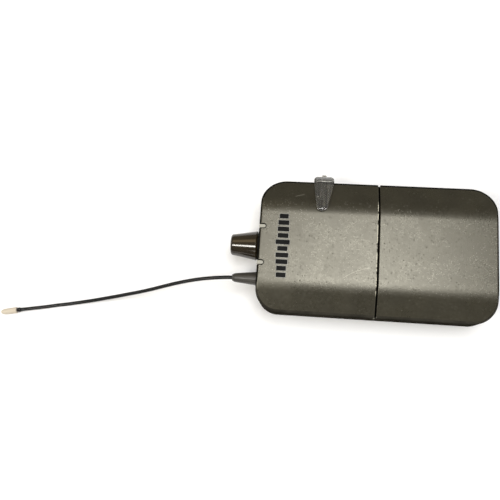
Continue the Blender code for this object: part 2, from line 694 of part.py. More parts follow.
def make_battery_door(battery_space):
    door = outer_front("battery_door", (SEAM_X + SEAM_GAP / 2, END_X + 2 * MM))
    cut(door, battery_space)
    skin = (HINGE_X + APRON_DEPTH, HINGE_X + BARREL_RADIUS)
    y = (-BARREL_HALF_LENGTH, BARREL_HALF_LENGTH)
    join(door, block("door_apron", skin, y, (HINGE_Z, PARTING_Z + 2 * MM)))
    join(door, rod("door_barrel", "Y", *y, (HINGE_X, HINGE_Z), BARREL_RADIUS))
    cut(door, rod("door_pin_hole", "Y", y[0] - MM, y[1] + MM, (HINGE_X, HINGE_Z),
                  HINGE_PIN_RADIUS + GAP, segments=16))
    return door


def make_casing():
    battery_space = inner_space(
        "battery_space", (BULKHEAD_X[1], END_X + 2 * MM), HOLLOW_LOW_Z, FRONT_Z
    )
    make_rear_shell()
    make_front_cover(battery_space)
    door = make_battery_door(battery_space)
    pivot("door_pivot", (HINGE_X, 0.0, HINGE_Z), door)
    reach = LUG_OUTER_Y - HINGE_PIN_INSET[0]
    rod("door_hinge_pin", "Y", -reach, reach, (HINGE_X, HINGE_Z), HINGE_PIN_RADIUS, "steel", 16)
    for k, (x, y) in enumerate(SCREWS):
        profile = [
            (0.0, SCREW_TOP_Z), (SCREW_RADIUS, SCREW_TOP_Z), (SCREW_RADIUS, SCREW_HEAD_Z[1]),
            (SCREW_HEAD_RADIUS, SCREW_HEAD_Z[1]), (SCREW_HEAD_RADIUS, SCREW_HEAD_Z[0]),
            (0.0, SCREW_HEAD_Z[0]),
        ]
        turned(f"case_screw_{k + 1}", profile, (x, y, 0.0), "Z", "steel", 16)
    block("rear_label", LABEL_X, (-LABEL_HALF_WIDTH, LABEL_HALF_WIDTH),
          (BACK_Z, BACK_Z + LABEL_THICKNESS), "label_film")


# ---- Badge and light pipes ----------------------------------------------------------------------
def badge_outline(grow):
    """X-Y outline of bars on a thin spine, taller and shorter like a sound level."""
    step = (BADGE_Y[1] - BADGE_Y[0]) / BADGE_BARS
    right, left = [], []
    for k in range(BADGE_BARS):
        middle = BADGE_Y[0] + (k + 0.5) * step
        swing = abs(math.sin(math.pi * (k + 0.5) / BADGE_BARS)) * abs(math.cos(BADGE_SWING * k))
        reach = BADGE_MIN_HALF_HEIGHT + swing * (BADGE_MAX_HALF_HEIGHT - BADGE_MIN_HALF_HEIGHT)
        half = BADGE_BAR_WIDTH / 2 + grow
        for y, x in (
            (middle - half, BADGE_SPINE_HALF), (middle - half, reach),
            (middle + half, reach), (middle + half, BADGE_SPINE_HALF),
        ):
            right.append((BADGE_X + x + grow, y))
            left.append((BADGE_X - x - grow, y))
    return right + left[::-1]


def make_badge_and_lights():
    prism("name_badge", badge_outline(0.0), FRONT_Z - BADGE_DEPTH, FRONT_Z + BADGE_PROUD,
          finish="gloss_black")
    for name, (y, width) in LIGHT_PIPES.items():
        low = FRONT_Z - LIGHT_PIPE_DEPTH
        head = block(f"{name}_light_pipe", (-END_X, LIGHT_PIPE_END_X), (y - width / 2, y + width / 2),
                     (low, FRONT_Z), "milky_plastic")
        stem = (y - LIGHT_STEM_HALF, y + LIGHT_STEM_HALF)
        join(head, block(f"{name}_pipe_stem", LIGHT_STEM_X, stem,
                         (ON_BOARD + LED_HEIGHT + LIGHT_STEM_OVERLAP, low + LIGHT_STEM_OVERLAP)))
        cut(head, block(f"{name}_pipe_trim", (LIGHT_PIPE_END_X, LIGHT_PIPE_END_X + MM),
                        (y - width, y + width), (low - 0.5 * MM, FRONT_Z + MM)))
        block(f"{name}_led", LED_X, (y - LED_HALF, y + LED_HALF), (ON_BOARD, ON_BOARD + LED_HEIGHT),
              "milky_plastic")


# ---- Volume control -----------------------------------------------------------------------------
def make_volume_control():
    face = KNOB_FACE_X
    bore = SHAFT_RADIUS + GAP
    profile = [(0.0, KNOB_LENGTH)]
    profile += [(KNOB_TIP_RADIUS - across, KNOB_LENGTH - down) for across, down in KNOB_TIP_EDGE]
    profile += [(KNOB_BASE_RADIUS - across, up) for across, up in KNOB_BASE_EDGE]
    profile += [
        (KNOB_SKIRT_RADIUS, 0.0), (KNOB_SKIRT_RADIUS, KNOB_SKIRT_DEPTH), (bore, KNOB_SKIRT_DEPTH),
        (bore, KNOB_BORE_DEPTH), (0.0, KNOB_BORE_DEPTH),
    ]
    knob = turned("volume_knob", profile, (face, 0.0, PARTING_Z), "-X", "gloss_black", 32)
    shaft_tip = face - KNOB_BORE_DEPTH + 2 * GAP
    shaft = rod("pot_shaft", "X", shaft_tip, SHAFT_END_X, (0.0, PARTING_Z), SHAFT_RADIUS, "brass", 16)
    pivot("volume_pivot", (face, 0.0, PARTING_Z), knob, shaft)

    inside = -END_X + WALL + GAP
    body = block("pot_body", (inside, POT_BODY_END_X), (-POT_BODY_HALF, POT_BODY_HALF),
                 (ON_BOARD, POT_BODY_TOP_Z), "dark_plastic")
    bushing_tip = face - KNOB_SKIRT_DEPTH / 2
    join(body, rod("pot_bushing", "X", bushing_tip, inside + MM, (0.0, PARTING_Z), BUSHING_RADIUS))
    cut(body, rod("pot_bore", "X", face - KNOB_SKIRT_DEPTH, SHAFT_END_X + 2 * GAP, (0.0, PARTING_Z),
                  bore, segments=16))
    nut = rod("pot_nut", "X", face - POT_NUT_THICKNESS, -END_X - GAP, (0.0, PARTING_Z), POT_NUT_RADIUS,
              "steel", 6)
    cut(nut, rod("pot_nut_bore", "X", face - KNOB_SKIRT_DEPTH, -END_X + MM, (0.0, PARTING_Z),
                 BUSHING_RADIUS + GAP, segments=16))


# ---- Antenna ------------------------------------------------------------------------------------
def make_antenna():
    base = -END_X - GAP
    neck = WALL + 2 * GAP
    flange, foot = BOOT_NECK_RADIUS + BOOT_FLANGE[0], -neck - BOOT_FLANGE[1]
    profile = [
        (0.0, BOOT_LENGTH), (BOOT_TIP_RADIUS - BOOT_EDGE, BOOT_LENGTH),
        (BOOT_TIP_RADIUS, BOOT_LENGTH - BOOT_EDGE), (BOOT_BASE_RADIUS, 0.0), (BOOT_NECK_RADIUS, 0.0),
        (BOOT_NECK_RADIUS, -neck), (flange, -neck), (flange, foot), (0.0, foot),
    ]
    turned("antenna_boot", profile, (base, ANTENNA_Y, PARTING_Z), "-X", "black_rubber")
    line = smooth_line(WHIP_ROUTE, WHIP_POINT_SPACING)
    wire("antenna_whip", line, WHIP_RADIUS, "whip_sleeve")

    onward = (line[-1] - line[-2]).normalized()
    onward.z = 0.0
    onward.normalize()
    turn = onward.to_track_quat("Z", "Y").to_euler()
    collar_start = line[-1] + onward * GAP
    collar = turned(
        "antenna_collar",
        [(0.0, COLLAR_LENGTH), (COLLAR_RADIUS, COLLAR_LENGTH), (COLLAR_RADIUS, COLLAR_EDGE),
         (COLLAR_RADIUS - COLLAR_EDGE, 0.0), (0.0, 0.0)],
        collar_start, "Z", "gloss_black", 16,
    )
    rounded = [(share * TIP_CAP_RADIUS, height) for share, height in TIP_CAP_PROFILE]
    cap = turned(
        "antenna_tip_cap", [(0.0, TIP_CAP_LENGTH), *rounded, (0.0, 0.0)],
        collar_start + onward * (COLLAR_LENGTH + GAP), "Z", "cream_plastic", 16,
    )
    for piece in (collar, cap):
        piece.rotation_euler = turn


# ---- Boards and what stands on them -------------------------------------------------------------
def make_boards():
    board = prism("main_board", case_outline(WALL + 1 * MM), *BOARD_Z, finish="circuit_board")
    z = (BOARD_Z[0] - MM, BOARD_Z[1] + MM)
    battery_side = (-SIDE_Y, BOARD_BATTERY_Y)
    cut(board, block("board_battery_side", (BULKHEAD_X[0] - 0.4 * MM, END_X), battery_side, z))
    cut(board, block("board_far_end", (BOARD_FAR_X, END_X), (0.0, SIDE_Y), z))
    cut(board, block("board_latch_side", *BOARD_LATCH, z))
    for k, (x, y) in enumerate(SCREWS):
        cut(board, rod(f"board_boss_hole_{k}", "Z", *z, (x, y), BOSS_RADIUS + GAP))

    block("shield_can", *SHIELD_CAN, (ON_BOARD, ON_BOARD + SHIELD_CAN_HEIGHT), "steel")
    for name, (x, y) in CHIPS.items():
        block(name, x, y, (ON_BOARD, ON_BOARD + CHIP_HEIGHT), "dark_plastic")
    block("antenna_terminal", TERMINAL_X, (ANTENNA_Y - MM, ANTENNA_Y + MM),
          (ON_BOARD, PARTING_Z + TERMINAL_RISE), "brass")

    inside = -END_X + WALL + GAP
    jack = block("audio_jack", (inside, JACK_END_X), (JACK_Y - JACK_HALF, JACK_Y + JACK_HALF),
                 (ON_BOARD, PARTING_Z + JACK_HALF), "dark_plastic")
    join(jack, rod("jack_bushing", "X", -END_X + 0.2 * MM, inside + MM, (JACK_Y, PARTING_Z),
                   JACK_BUSHING_RADIUS))
    cut(jack, rod("jack_bore", "X", -END_X - MM, JACK_END_X - MM, (JACK_Y, PARTING_Z),
                  JACK_BORE_RADIUS, segments=16))


def make_controls():
    deck = block("control_deck", DECK_X, DECK_Y, DECK_Z, "dark_plastic")
    through = (DECK_Z[0] - MM, DECK_Z[1] + MM)
    leg = DECK_LEG_HALF
    for x in DECK_LEG_X:
        for y in DECK_LEG_Y:
            join(deck, block("deck_leg", (x - leg, x + leg), (y - leg, y + leg),
                             (ON_BOARD, DECK_Z[0] + MM / 2)))
    cut(deck, block("deck_window", WINDOW_X, WINDOW_Y, through))
    infrared = (INFRARED_X - INFRARED_HALF[0], INFRARED_X + INFRARED_HALF[0])
    infrared_y = (INFRARED_Y - INFRARED_HALF[1], INFRARED_Y + INFRARED_HALF[1])
    cut(deck, block("deck_infrared_hole", infrared, infrared_y, through))
    block("infrared_window", (infrared[0] + GAP, infrared[1] - GAP),
          (infrared_y[0] + GAP, infrared_y[1] - GAP), (DECK_Z[0], DECK_Z[1]), "infrared_plastic")

    for name, y in KEYS.items():
        hole = KEY_HALF + GAP
        cut(deck, block(f"{name}_key_hole", (KEY_X - hole, KEY_X + hole), (y - hole, y + hole), through))
        key = block(f"{name}_button", (KEY_X - KEY_HALF, KEY_X + KEY_HALF), (y - KEY_HALF, y + KEY_HALF),
                    (DECK_Z[0] - KEY_SINK, DECK_Z[1] + KEY_PROUD), "grey_plastic")
        flange = KEY_HALF + KEY_FLANGE
        join(key, block(f"{name}_key_flange", (KEY_X - flange, KEY_X + flange), (y - flange, y + flange),
                        (DECK_Z[0] - KEY_SINK - 0.2 * MM, DECK_Z[0] - GAP)))
        pivot(f"{name}_key_slide", (KEY_X, y, DECK_Z[1]), key)
        half = KEY_SWITCH_HALF
        block(f"{name}_switch", (KEY_X - half, KEY_X + half), (y - half, y + half),
              (ON_BOARD, DECK_Z[0] - KEY_SWITCH_DROP), "dark_plastic")

    block("display_module", (WINDOW_X[0] - MM, WINDOW_X[1] + MM), (WINDOW_Y[0] - MM, WINDOW_Y[1] + MM),
          (ON_BOARD, DECK_Z[0] - GAP), "grey_plastic")
    block("display_glass", (WINDOW_X[0] + GAP, WINDOW_X[1] - GAP),
          (WINDOW_Y[0] + GAP, WINDOW_Y[1] - GAP), (DECK_Z[0], DECK_Z[1] - GAP), "display_glass")


# ---- Batteries ----------------------------------------------------------------------------------
def cell(name, y, positive_x, facing):
    """One AA cell; facing is +1 when its nub points to +X."""
    profile = [
        (0.0, CELL_BODY + CELL_NUB), (CELL_NUB_RADIUS, CELL_BODY + CELL_NUB),
        (CELL_NUB_RADIUS, CELL_BODY), (CELL_RADIUS - CELL_EDGE, CELL_BODY),
        (CELL_RADIUS, CELL_BODY - CELL_EDGE), (CELL_RADIUS, CELL_EDGE), (CELL_RADIUS - CELL_EDGE, 0.0),
        (0.0, 0.0),
    ]
    base = positive_x - facing * (CELL_BODY + CELL_NUB)
    turned(name, profile, (base, y, CELL_Z), "X" if facing > 0 else "-X", "cell_wrap")


def contact_spring(name, y, base_x, tip_x):
    """A conical coil that presses on a cell's flat end."""
    steps = COIL_TURNS * STEPS_PER_TURN
    points = []
    for k in range(steps + 1):
        t = k / steps
        radius = COIL_RADII[0] + (COIL_RADII[1] - COIL_RADII[0]) * t
        angle = 2 * math.pi * COIL_TURNS * t
        points.append((base_x + (tip_x - base_x) * t, y + radius * math.cos(angle),
                       CELL_Z + radius * math.sin(angle)))
    wire(name, points, SPRING_WIRE_RADIUS, "steel")


def make_battery_bay():
    tray = block("battery_tray", (BAY_X[0] - TRAY_END[0], BAY_X[1] + TRAY_END[1]), TRAY_Y,
                 (BACK_Z + WALL + GAP, TRAY_TOP_Z), "dark_plastic")
    keep(tray, prism("tray_limit", case_outline(WALL + GAP), BACK_Z, FRONT_Z))
    for k, y in enumerate(CELL_Y):
        cut(tray, rod(f"tray_trough_{k}", "X", *BAY_X, (y, CELL_Z), CELL_RADIUS + GAP))
    cut(tray, block("tray_top", BAY_X, (-SIDE_Y, SIDE_Y), (BACK_Z + TRAY_RIB, FRONT_Z)))
    cell("battery_cell_1", CELL_Y[0], BAY_X[1] - CELL_END_GAP, 1)
    cell("battery_cell_2", CELL_Y[1], BAY_X[0] + CELL_END_GAP, -1)
    plate_z = (BACK_Z + TRAY_RIB + GAP, CONTACT_TOP_Z)
    near, far = CONTACT_SPAN
    block("contact_bridge", (BAY_X[1] - far, BAY_X[1] - near),
          (CELL_Y[0] - CONTACT_HALF, CELL_Y[1] + CONTACT_HALF), plate_z, "steel")
    block("positive_contact", (BAY_X[0] + near, BAY_X[0] + far),
          (CELL_Y[1] - CONTACT_HALF, CELL_Y[1] + CONTACT_HALF), plate_z, "steel")
    near, far = NEGATIVE_COIL_SPAN
    contact_spring("negative_spring", CELL_Y[0], BAY_X[0] + near, BAY_X[0] + far)
    near, far = BRIDGE_COIL_SPAN
    contact_spring("bridge_spring", CELL_Y[1], BAY_X[1] - near, BAY_X[1] - far)


# ---- Latches and belt clip ----------------------------------------------------------------------
def make_latches():
    for side, name in ((-1, "a"), (1, "b")):
        pad = sorted((side * (SIDE_Y - LATCH_DEPTH), side * SIDE_Y))
        button = block(f"latch_button_{name}", LATCH_X, pad, LATCH_Z, "casing_plastic")
        flange = sorted((side * (SIDE_Y - LATCH_DEPTH), side * (SIDE_Y - WALL - GAP)))
        along, up = LATCH_FLANGE
        join(button, block(f"latch_flange_{name}", (LATCH_X[0] - along, LATCH_X[1] + along), flange,
                           (LATCH_Z[0] - up, LATCH_Z[1] + up)))
        pivot(f"latch_slide_{name}", ((LATCH_X[0] + LATCH_X[1]) / 2, side * SIDE_Y, LATCH_Z[0]), button)


def clip_outline():
    """X-Y outline of the clip's plate with its narrower thumb end."""
    neck = CLIP_PIVOT_X + CLIP_NECK
    body = rounded_rectangle((neck, -CLIP_HALF_WIDTH), (CLIP_END_X, CLIP_HALF_WIDTH),
                             4 * [CLIP_CORNER_RADIUS], 3)
    first, rest = body[:8], body[8:]
    corner = CLIP_THUMB_CORNER
    tail = [
        (neck, CLIP_THUMB_HALF), (CLIP_THUMB_X + corner, CLIP_THUMB_HALF),
        (CLIP_THUMB_X, CLIP_THUMB_HALF - corner), (CLIP_THUMB_X, -CLIP_THUMB_HALF + corner),
        (CLIP_THUMB_X + corner, -CLIP_THUMB_HALF), (neck, -CLIP_THUMB_HALF),
    ]
    return first + tail + rest


def make_belt_clip():
    clip = prism("belt_clip", clip_outline(), 0.0, CLIP_PLATE, finish="steel")
    r = CLIP_EYE_RADIUS
    for side, name in ((-1, "a"), (1, "b")):
        low, high = sorted(side * y for y in CLIP_EAR_Y)
        join(clip, block(f"clip_ear_{name}", (CLIP_PIVOT_X - r, CLIP_PIVOT_X + r), (low, high),
                         (CLIP_PLATE / 2, CLIP_PIVOT_Z)))
        join(clip, rod(f"clip_ear_eye_{name}", "Y", low + MM / 10, high - MM / 10,
                       (CLIP_PIVOT_X, CLIP_PIVOT_Z), r - MM / 10, segments=16))
    join(clip, block("clip_lip", CLIP_LIP_X, (-CLIP_LIP_HALF, CLIP_LIP_HALF),
                     (CLIP_PLATE / 2, BACK_Z - CLIP_LIP_GAP)))
    cut(clip, rod("clip_ear_hole", "Y", -CLIP_EAR_Y[1] - MM, CLIP_EAR_Y[1] + MM,
                  (CLIP_PIVOT_X, CLIP_PIVOT_Z), CLIP_PIN_RADIUS + GAP, segments=16))
    pivot("clip_pivot", (CLIP_PIVOT_X, 0.0, CLIP_PIVOT_Z), clip)
    rod("clip_pin", "Y", -CLIP_EAR_Y[1], CLIP_EAR_Y[1], (CLIP_PIVOT_X, CLIP_PIVOT_Z),
        CLIP_PIN_RADIUS, "steel", 16)

    steps, half = CLIP_COIL_TURNS * STEPS_PER_TURN, CLIP_COIL_HALF
    leg_x, leg_z = CLIP_PIVOT_X + CLIP_COIL_LEG, BACK_Z - CLIP_LIP_GAP
    points = [(leg_x, -half, leg_z)]
    for k in range(steps + 1):
        angle = math.pi / 2 - 2 * math.pi * k / STEPS_PER_TURN
        points.append((CLIP_PIVOT_X + CLIP_COIL_RADIUS * math.cos(angle), -half + 2 * half * k / steps,
                       CLIP_PIVOT_Z + CLIP_COIL_RADIUS * math.sin(angle)))
    points.append((leg_x, half, leg_z))
    wire("clip_spring", points, SPRING_WIRE_RADIUS, "steel")


# ---- Clear clip over the +Y edge ----------------------------------------------------------------
def make_clear_clip():
    thick, tip, bulge = CLEAR_CLIP_THICKNESS, CLEAR_CLIP_TIP_Y, CLEAR_CLIP_BULGE_Y
    lift = 1.2 * GAP
    along = [tip, *CLEAR_CLIP_SHOULDER_Y, CLEAR_CLIP_SIDE_Y]
    inner = [(y, front_height(y, lift)) for y in along] + CLEAR_CLIP_INNER
    back = (CLEAR_CLIP_ELBOW_Y, *reversed(CLEAR_CLIP_SHOULDER_Y))
    outer = CLEAR_CLIP_OUTER + [(y, front_height(y, lift) + thick) for y in back]
    outer.append((tip, front_height(tip, lift) + 0.7 * thick))
    x, half = CLEAR_CLIP_X, CLEAR_CLIP_HALF_WIDTH
    clip = prism("clear_cable_clip", inner + outer, x - half, x + half, axis="X", finish="clear_plastic")
    narrow = CLEAR_CLIP_TIP_HALF_WIDTH
    tongue = [
        (CLEAR_CLIP_TIP_X + narrow * math.cos(a), tip + narrow - narrow * math.sin(a))
        for a in [math.pi * k / 8 for k in range(9)]
    ]
    corner = CLEAR_CLIP_CORNER
    arch = [
        (x + sign * (half - corner + corner * math.cos(a)), bulge - corner + corner * math.sin(a))
        for sign, angles in ((-1, (0.0, 0.5, 1.0, math.pi / 2)), (1, (math.pi / 2, 1.0, 0.5, 0.0)))
        for a in angles
    ]
    plan = tongue + [(x - half, SIDE_Y - 1 * MM)] + arch + [(x + half, SIDE_Y - 1 * MM)]
    keep(clip, prism("clear_clip_plan", plan[::-1], 0.0, FRONT_Z + 5 * MM))
    nub = (CLEAR_CLIP_BULGE_Y - 1 * MM, CLEAR_CLIP_NUB_Y)
    join(clip, block("clear_clip_nub", (x - CLEAR_CLIP_NUB_HALF, x + CLEAR_CLIP_NUB_HALF), nub,
                     CLEAR_CLIP_NUB_Z))


make_casing()
make_badge_and_lights()
make_volume_control()
make_antenna()
make_boards()
make_controls()
make_battery_bay()
make_latches()
make_belt_clip()
make_clear_clip()
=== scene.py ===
"""Looks of a bodypack radio with a volume knob, whip antenna, battery door and belt clip."""

from math import asin, atan2, cos, hypot, pi, radians, sin, sqrt, tan

import bmesh
import bpy
from mathutils import Euler, Matrix, Vector


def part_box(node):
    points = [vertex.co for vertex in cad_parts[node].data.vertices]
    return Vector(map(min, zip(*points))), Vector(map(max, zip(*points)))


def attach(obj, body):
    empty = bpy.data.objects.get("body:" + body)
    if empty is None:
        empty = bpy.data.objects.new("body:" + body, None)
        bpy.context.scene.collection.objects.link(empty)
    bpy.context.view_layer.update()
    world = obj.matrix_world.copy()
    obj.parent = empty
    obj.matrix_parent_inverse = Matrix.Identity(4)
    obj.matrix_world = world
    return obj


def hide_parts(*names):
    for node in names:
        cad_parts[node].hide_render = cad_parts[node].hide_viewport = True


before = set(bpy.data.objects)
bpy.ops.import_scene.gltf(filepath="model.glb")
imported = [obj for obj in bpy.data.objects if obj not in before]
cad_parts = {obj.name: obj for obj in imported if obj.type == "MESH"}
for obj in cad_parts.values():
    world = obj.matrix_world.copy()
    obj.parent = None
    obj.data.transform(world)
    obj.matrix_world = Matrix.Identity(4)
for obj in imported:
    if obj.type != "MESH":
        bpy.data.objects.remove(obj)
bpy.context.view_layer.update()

MM = 0.001
GAP = 0.3 * MM


def mm(*values):
    return tuple(value * MM for value in values)


def link(obj):
    bpy.context.scene.collection.objects.link(obj)


# ---- Sizes that follow the CAD frame ------------------------------------------------------------
REAR_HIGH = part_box("rear_shell")[1]
COVER_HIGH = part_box("front_cover")[1]
END_X, SIDE_Y = REAR_HIGH[0], REAR_HIGH[1]
FRONT_Z = COVER_HIGH[2]
SEAM_LOW, SEAM_HIGH = COVER_HIGH[0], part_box("battery_door")[0][0]
RIM_RADIUS = 12 * MM
# round corners, counter-clockwise from the +X, +Y one
CORNER_RADII = mm(11.4, 12.0, 10.3, 9.9)
WALL = 1.6 * MM
BACK_Z = 6 * MM
PARTING_Z = BACK_Z + 11 * MM
PARTING_HALF_GAP = 0.15 * MM
BACK_EDGE_RADIUS = 3 * MM
FLAT_HALF_WIDTH = 18.5 * MM
FLANK_DROP = 4.8 * MM
FLANK_ANGLE = atan2(FLANK_DROP, SIDE_Y - FLAT_HALF_WIDTH)
FLANK_BLEND_RADIUS = 22 * MM
CORNER_STEPS = 24
EDGE_FILLET = 1.1 * MM
EDGE_SEGMENTS = 6
BACK_EDGE_SEGMENTS = 8
SEAM_EDGE = 0.3 * MM
BLEND_SLICES = 8
ARC_STEPS = 6
BULKHEAD_X = mm(-9.8, -8.4)
LIP_GAP = 0.35 * MM
LIP_THICK = 1.0 * MM
LIP_REACH = 2.0 * MM
RIDGE_INSET = 0.9 * MM
RIDGE_GAP = 0.12 * MM
DRAFT = 0.05 * MM
RIM_BAND = 1.3 * MM
# heights of the normals on the front fillet, the side wall and the back edge
RIM_SLOPE, WALL_SLOPE, BACK_SLOPE = (0.12, 0.93), (-0.3, 0.12), (-0.95, -0.3)
SHADED_SIDE = -0.2
DOOR_RIB_Y = 14 * MM
DOOR_RIB_X = (SEAM_HIGH + 4 * MM, END_X - 6 * MM)
DOOR_RIB_HALF = 0.5 * MM
DOOR_RIB_Z = (FRONT_Z - WALL - 0.9 * MM, FRONT_Z - WALL / 2)
GRIP_GROOVES_X = mm(-44, -41.5, -39)
GRIP_GROOVE_DEPTH = 0.35 * MM
LABEL_RECESS = 0.3 * MM
LUG_REACH = 1.7 * MM
APRON_DEPTH = 1.2 * MM
NOTCH_GAP = 0.35 * MM
PIN_HOLE_INSET = 0.8 * MM
SCREW_SINK = 1.8 * MM

# ---- Hinge, latches, belt clip and screws -------------------------------------------------------
HINGE_X = END_X - 2.7 * MM
HINGE_Z = BACK_Z + 3.5 * MM
BARREL_RADIUS = 2.5 * MM
BARREL_HALF_LENGTH = 14.5 * MM
HINGE_PIN_RADIUS = 0.9 * MM
LUG_OUTER_Y = 18.3 * MM
LATCH_X = mm(5, 13)
LATCH_Z = (BACK_Z + 4.2 * MM, BACK_Z + 8.8 * MM)
CLIP_PIVOT_X = -27 * MM
CLIP_PIVOT_Z = 3.7 * MM
CLIP_PLATE = 1.4 * MM
CLIP_END_X = 26 * MM
CLIP_THUMB_X = -33 * MM
CLIP_HALF_WIDTH = 17 * MM
CLIP_THUMB_HALF = 11 * MM
CLIP_EYE_RADIUS = 2.0 * MM
CLIP_PIN_RADIUS = 1.0 * MM
CLIP_LUG_Y = mm(5.2, 8.2)
CLIP_EAR_Y = mm(8.6, 10.2)
CLIP_NECK = 4 * MM
CLIP_CORNER = 5 * MM
CLIP_ROUNDING = 2.2 * MM
CLIP_LIP_X = (CLIP_END_X - 2.2 * MM, CLIP_END_X - 0.8 * MM)
CLIP_LIP_HALF = 11 * MM
CLIP_LIP_GAP = 0.7 * MM
CLIP_COIL_RADIUS, CLIP_COIL_HALF, CLIP_COIL_LEG = mm(1.65, 3.0, 7)
CLIP_COIL_TURNS = 4
SPRING_WIRE_RADIUS = 0.3 * MM
SCREWS = [mm(-46, -24.5), mm(-46, 24.5), mm(-14, -25.8), mm(-14, 25.8)]
SCREW_HEAD_RADIUS = 1.9 * MM
SCREW_HOLE_RADIUS = 1.3 * MM

# ---- Parts on the -X end ------------------------------------------------------------------------
KNOB_BASE_RADIUS = 6.95 * MM
KNOB_TIP_RADIUS = 5.0 * MM
KNOB_LENGTH = 12.95 * MM
KNOB_FACE_X = -END_X - 0.6 * MM
KNOB_SKIRT_RADIUS = 5.9 * MM
KNOB_SKIRT_DEPTH = 3.2 * MM
KNOB_BORE_DEPTH = 10.4 * MM
SHAFT_RADIUS = 1.9 * MM
BUSHING_RADIUS = 3.1 * MM
JACK_Y = 17 * MM
JACK_BUSHING_RADIUS = 2.9 * MM
ANTENNA_Y = -15.9 * MM
BOOT_BASE_RADIUS = 3.2 * MM
BOOT_TIP_RADIUS = 2.0 * MM
BOOT_LENGTH = 11.7 * MM
BOOT_NECK_RADIUS = 2.3 * MM
LIGHT_PIPES = {"power": mm(7.6, 1.8), "signal": mm(-9.6, 1.9)}
LIGHT_PIPE_END_X = -51.1 * MM
LIGHT_PIPE_DEPTH = 2.4 * MM
PIPE_SLIT = 0.4 * MM
PIPE_TRIM = 0.25 * MM
PIPE_STEPS = 16

# ---- Badge --------------------------------------------------------------------------------------
BADGE_X = -42.75 * MM
BADGE_Y = mm(-16.6, 14.2)
BADGE_BARS = 10
BADGE_BAR_WIDTH = 2.1 * MM
BADGE_MAX_HALF_HEIGHT = 3.2 * MM
BADGE_MIN_HALF_HEIGHT = 2.0 * MM
BADGE_SWING = 1.9
BADGE_CORNER = 0.3 * MM
BADGE_SLIT = 0.22 * MM
BADGE_LINE_GAP = 0.04 * MM
BADGE_DEPTH = 0.6 * MM
BADGE_PROUD = 0.05 * MM

# ---- Clear clip ---------------------------------------------------------------------------------
CLEAR_X = -25.05 * MM
CLEAR_HALF_WIDTH = 4.7 * MM
CLEAR_TIP_X = -25.5 * MM
CLEAR_TIP_HALF_WIDTH = 2.7 * MM
CLEAR_TIP_Y = 15.7 * MM
CLEAR_CORNER = 3.2 * MM
CLEAR_THICKNESS = 1.5 * MM
CLEAR_BULGE_Y = 35.4 * MM
CLEAR_NUB_Y = 36.5 * MM
CLEAR_NUB_HALF = 1.2 * MM
CLEAR_FOOT_Y = 26.5 * MM
CLEAR_STEPS = 16
CLEAR_TIP_REACH = 2.2 * MM
CLEAR_ROUNDING = 0.9 * MM
CLEAR_EDGE_BAND = 0.6 * MM
CLEAR_NUB_Z = (PARTING_Z - 2.5 * MM, PARTING_Z + 0.5 * MM)
CLEAR_SIDE_Y = SIDE_Y + GAP
# Y-Z points down its inner side and back up its outer side, below the front
CLEAR_INNER = [
    (CLEAR_SIDE_Y, BACK_Z + 2.8 * MM),
    (CLEAR_SIDE_Y - 0.9 * MM, BACK_Z + 0.5 * MM),
    (CLEAR_SIDE_Y - 3 * MM, BACK_Z - GAP),
    (CLEAR_FOOT_Y, BACK_Z - GAP),
]
CLEAR_OUTER = [
    (CLEAR_FOOT_Y, BACK_Z - GAP - CLEAR_THICKNESS),
    (CLEAR_SIDE_Y - 2 * MM, BACK_Z - GAP - CLEAR_THICKNESS),
    (CLEAR_SIDE_Y + 0.6 * MM, BACK_Z - 0.4 * MM),
    (CLEAR_SIDE_Y + 1.7 * MM, BACK_Z + 2.5 * MM),
    (CLEAR_BULGE_Y - 0.5 * MM, BACK_Z + 6 * MM),
    (CLEAR_BULGE_Y, PARTING_Z - 1 * MM),
    (CLEAR_BULGE_Y - 0.4 * MM, BACK_Z + 14 * MM),
    (CLEAR_SIDE_Y + 0.7 * MM, BACK_Z + 17.3 * MM),
]
# radius and height in millimetres
GATE_PROFILE = [(0.0, 0.28), (0.2, 0.24), (0.36, 0.12), (0.42, 0.0), (0.42, -0.2), (0.0, -0.2)]
CLEAR_GATE = mm(-27.6, 22.9)

# ---- Back, batteries and controls ---------------------------------------------------------------
CLIP_GROOVE_X = mm(-16, 19)
CLIP_GROOVE_Y = mm(5, 11)
CLIP_GROOVE_HALF = 0.8 * MM
CLIP_GROOVE_DEPTH = 0.4 * MM
COIL_STEPS = 24
SCREW_RADIUS = 1.0 * MM
SCREW_TOP_Z = BACK_Z + 14 * MM
SCREW_HEAD_Z = (BACK_Z + 0.3 * MM, BACK_Z + 1.5 * MM)
SCREW_CROSS = mm(1.15, 0.25)
LATCH_GROOVES = 4
LATCH_DEPTH = 2.7 * MM
LATCH_SUNK = 0.02 * MM
LATCH_GROOVE_HALF, LATCH_GROOVE_DEPTH = mm(0.3, 0.35)
LABEL_X = mm(30, 46)
LABEL_HALF_WIDTH = 13 * MM
LABEL_FIELDS = (mm(-11.5, -1.0), mm(1.0, 11.5))
CELL_RADIUS = 7.1 * MM
CELL_BODY = 49.5 * MM
CELL_NUB = 1.0 * MM
CELL_NUB_RADIUS = 2.75 * MM
CELL_BAND = 10 * MM
CELL_Z = BACK_Z + 9.7 * MM
CELL_Y = mm(-20.6, -6.0)
BAY_X = mm(-7.2, 47.8)
CONTACT_COILS = {
    "negative_spring": (CELL_Y[0], BAY_X[0] + 0.6 * MM, BAY_X[0] + 3.0 * MM),
    "bridge_spring": (CELL_Y[1], BAY_X[1] - 1.2 * MM, BAY_X[1] - 3.0 * MM),
}
CONTACT_TURNS = 3
CELL_END_GAP = 0.9 * MM
TRAY_X = (BAY_X[0] - 0.8 * MM, BAY_X[1] + 0.6 * MM)
TRAY_Z = (BACK_Z + WALL + GAP, BACK_Z + 12 * MM)
TRAY_Y = mm(-27.9, 1.9)
TRAY_RIB = 6.6 * MM
ON_BOARD = BACK_Z + 6.5 * MM
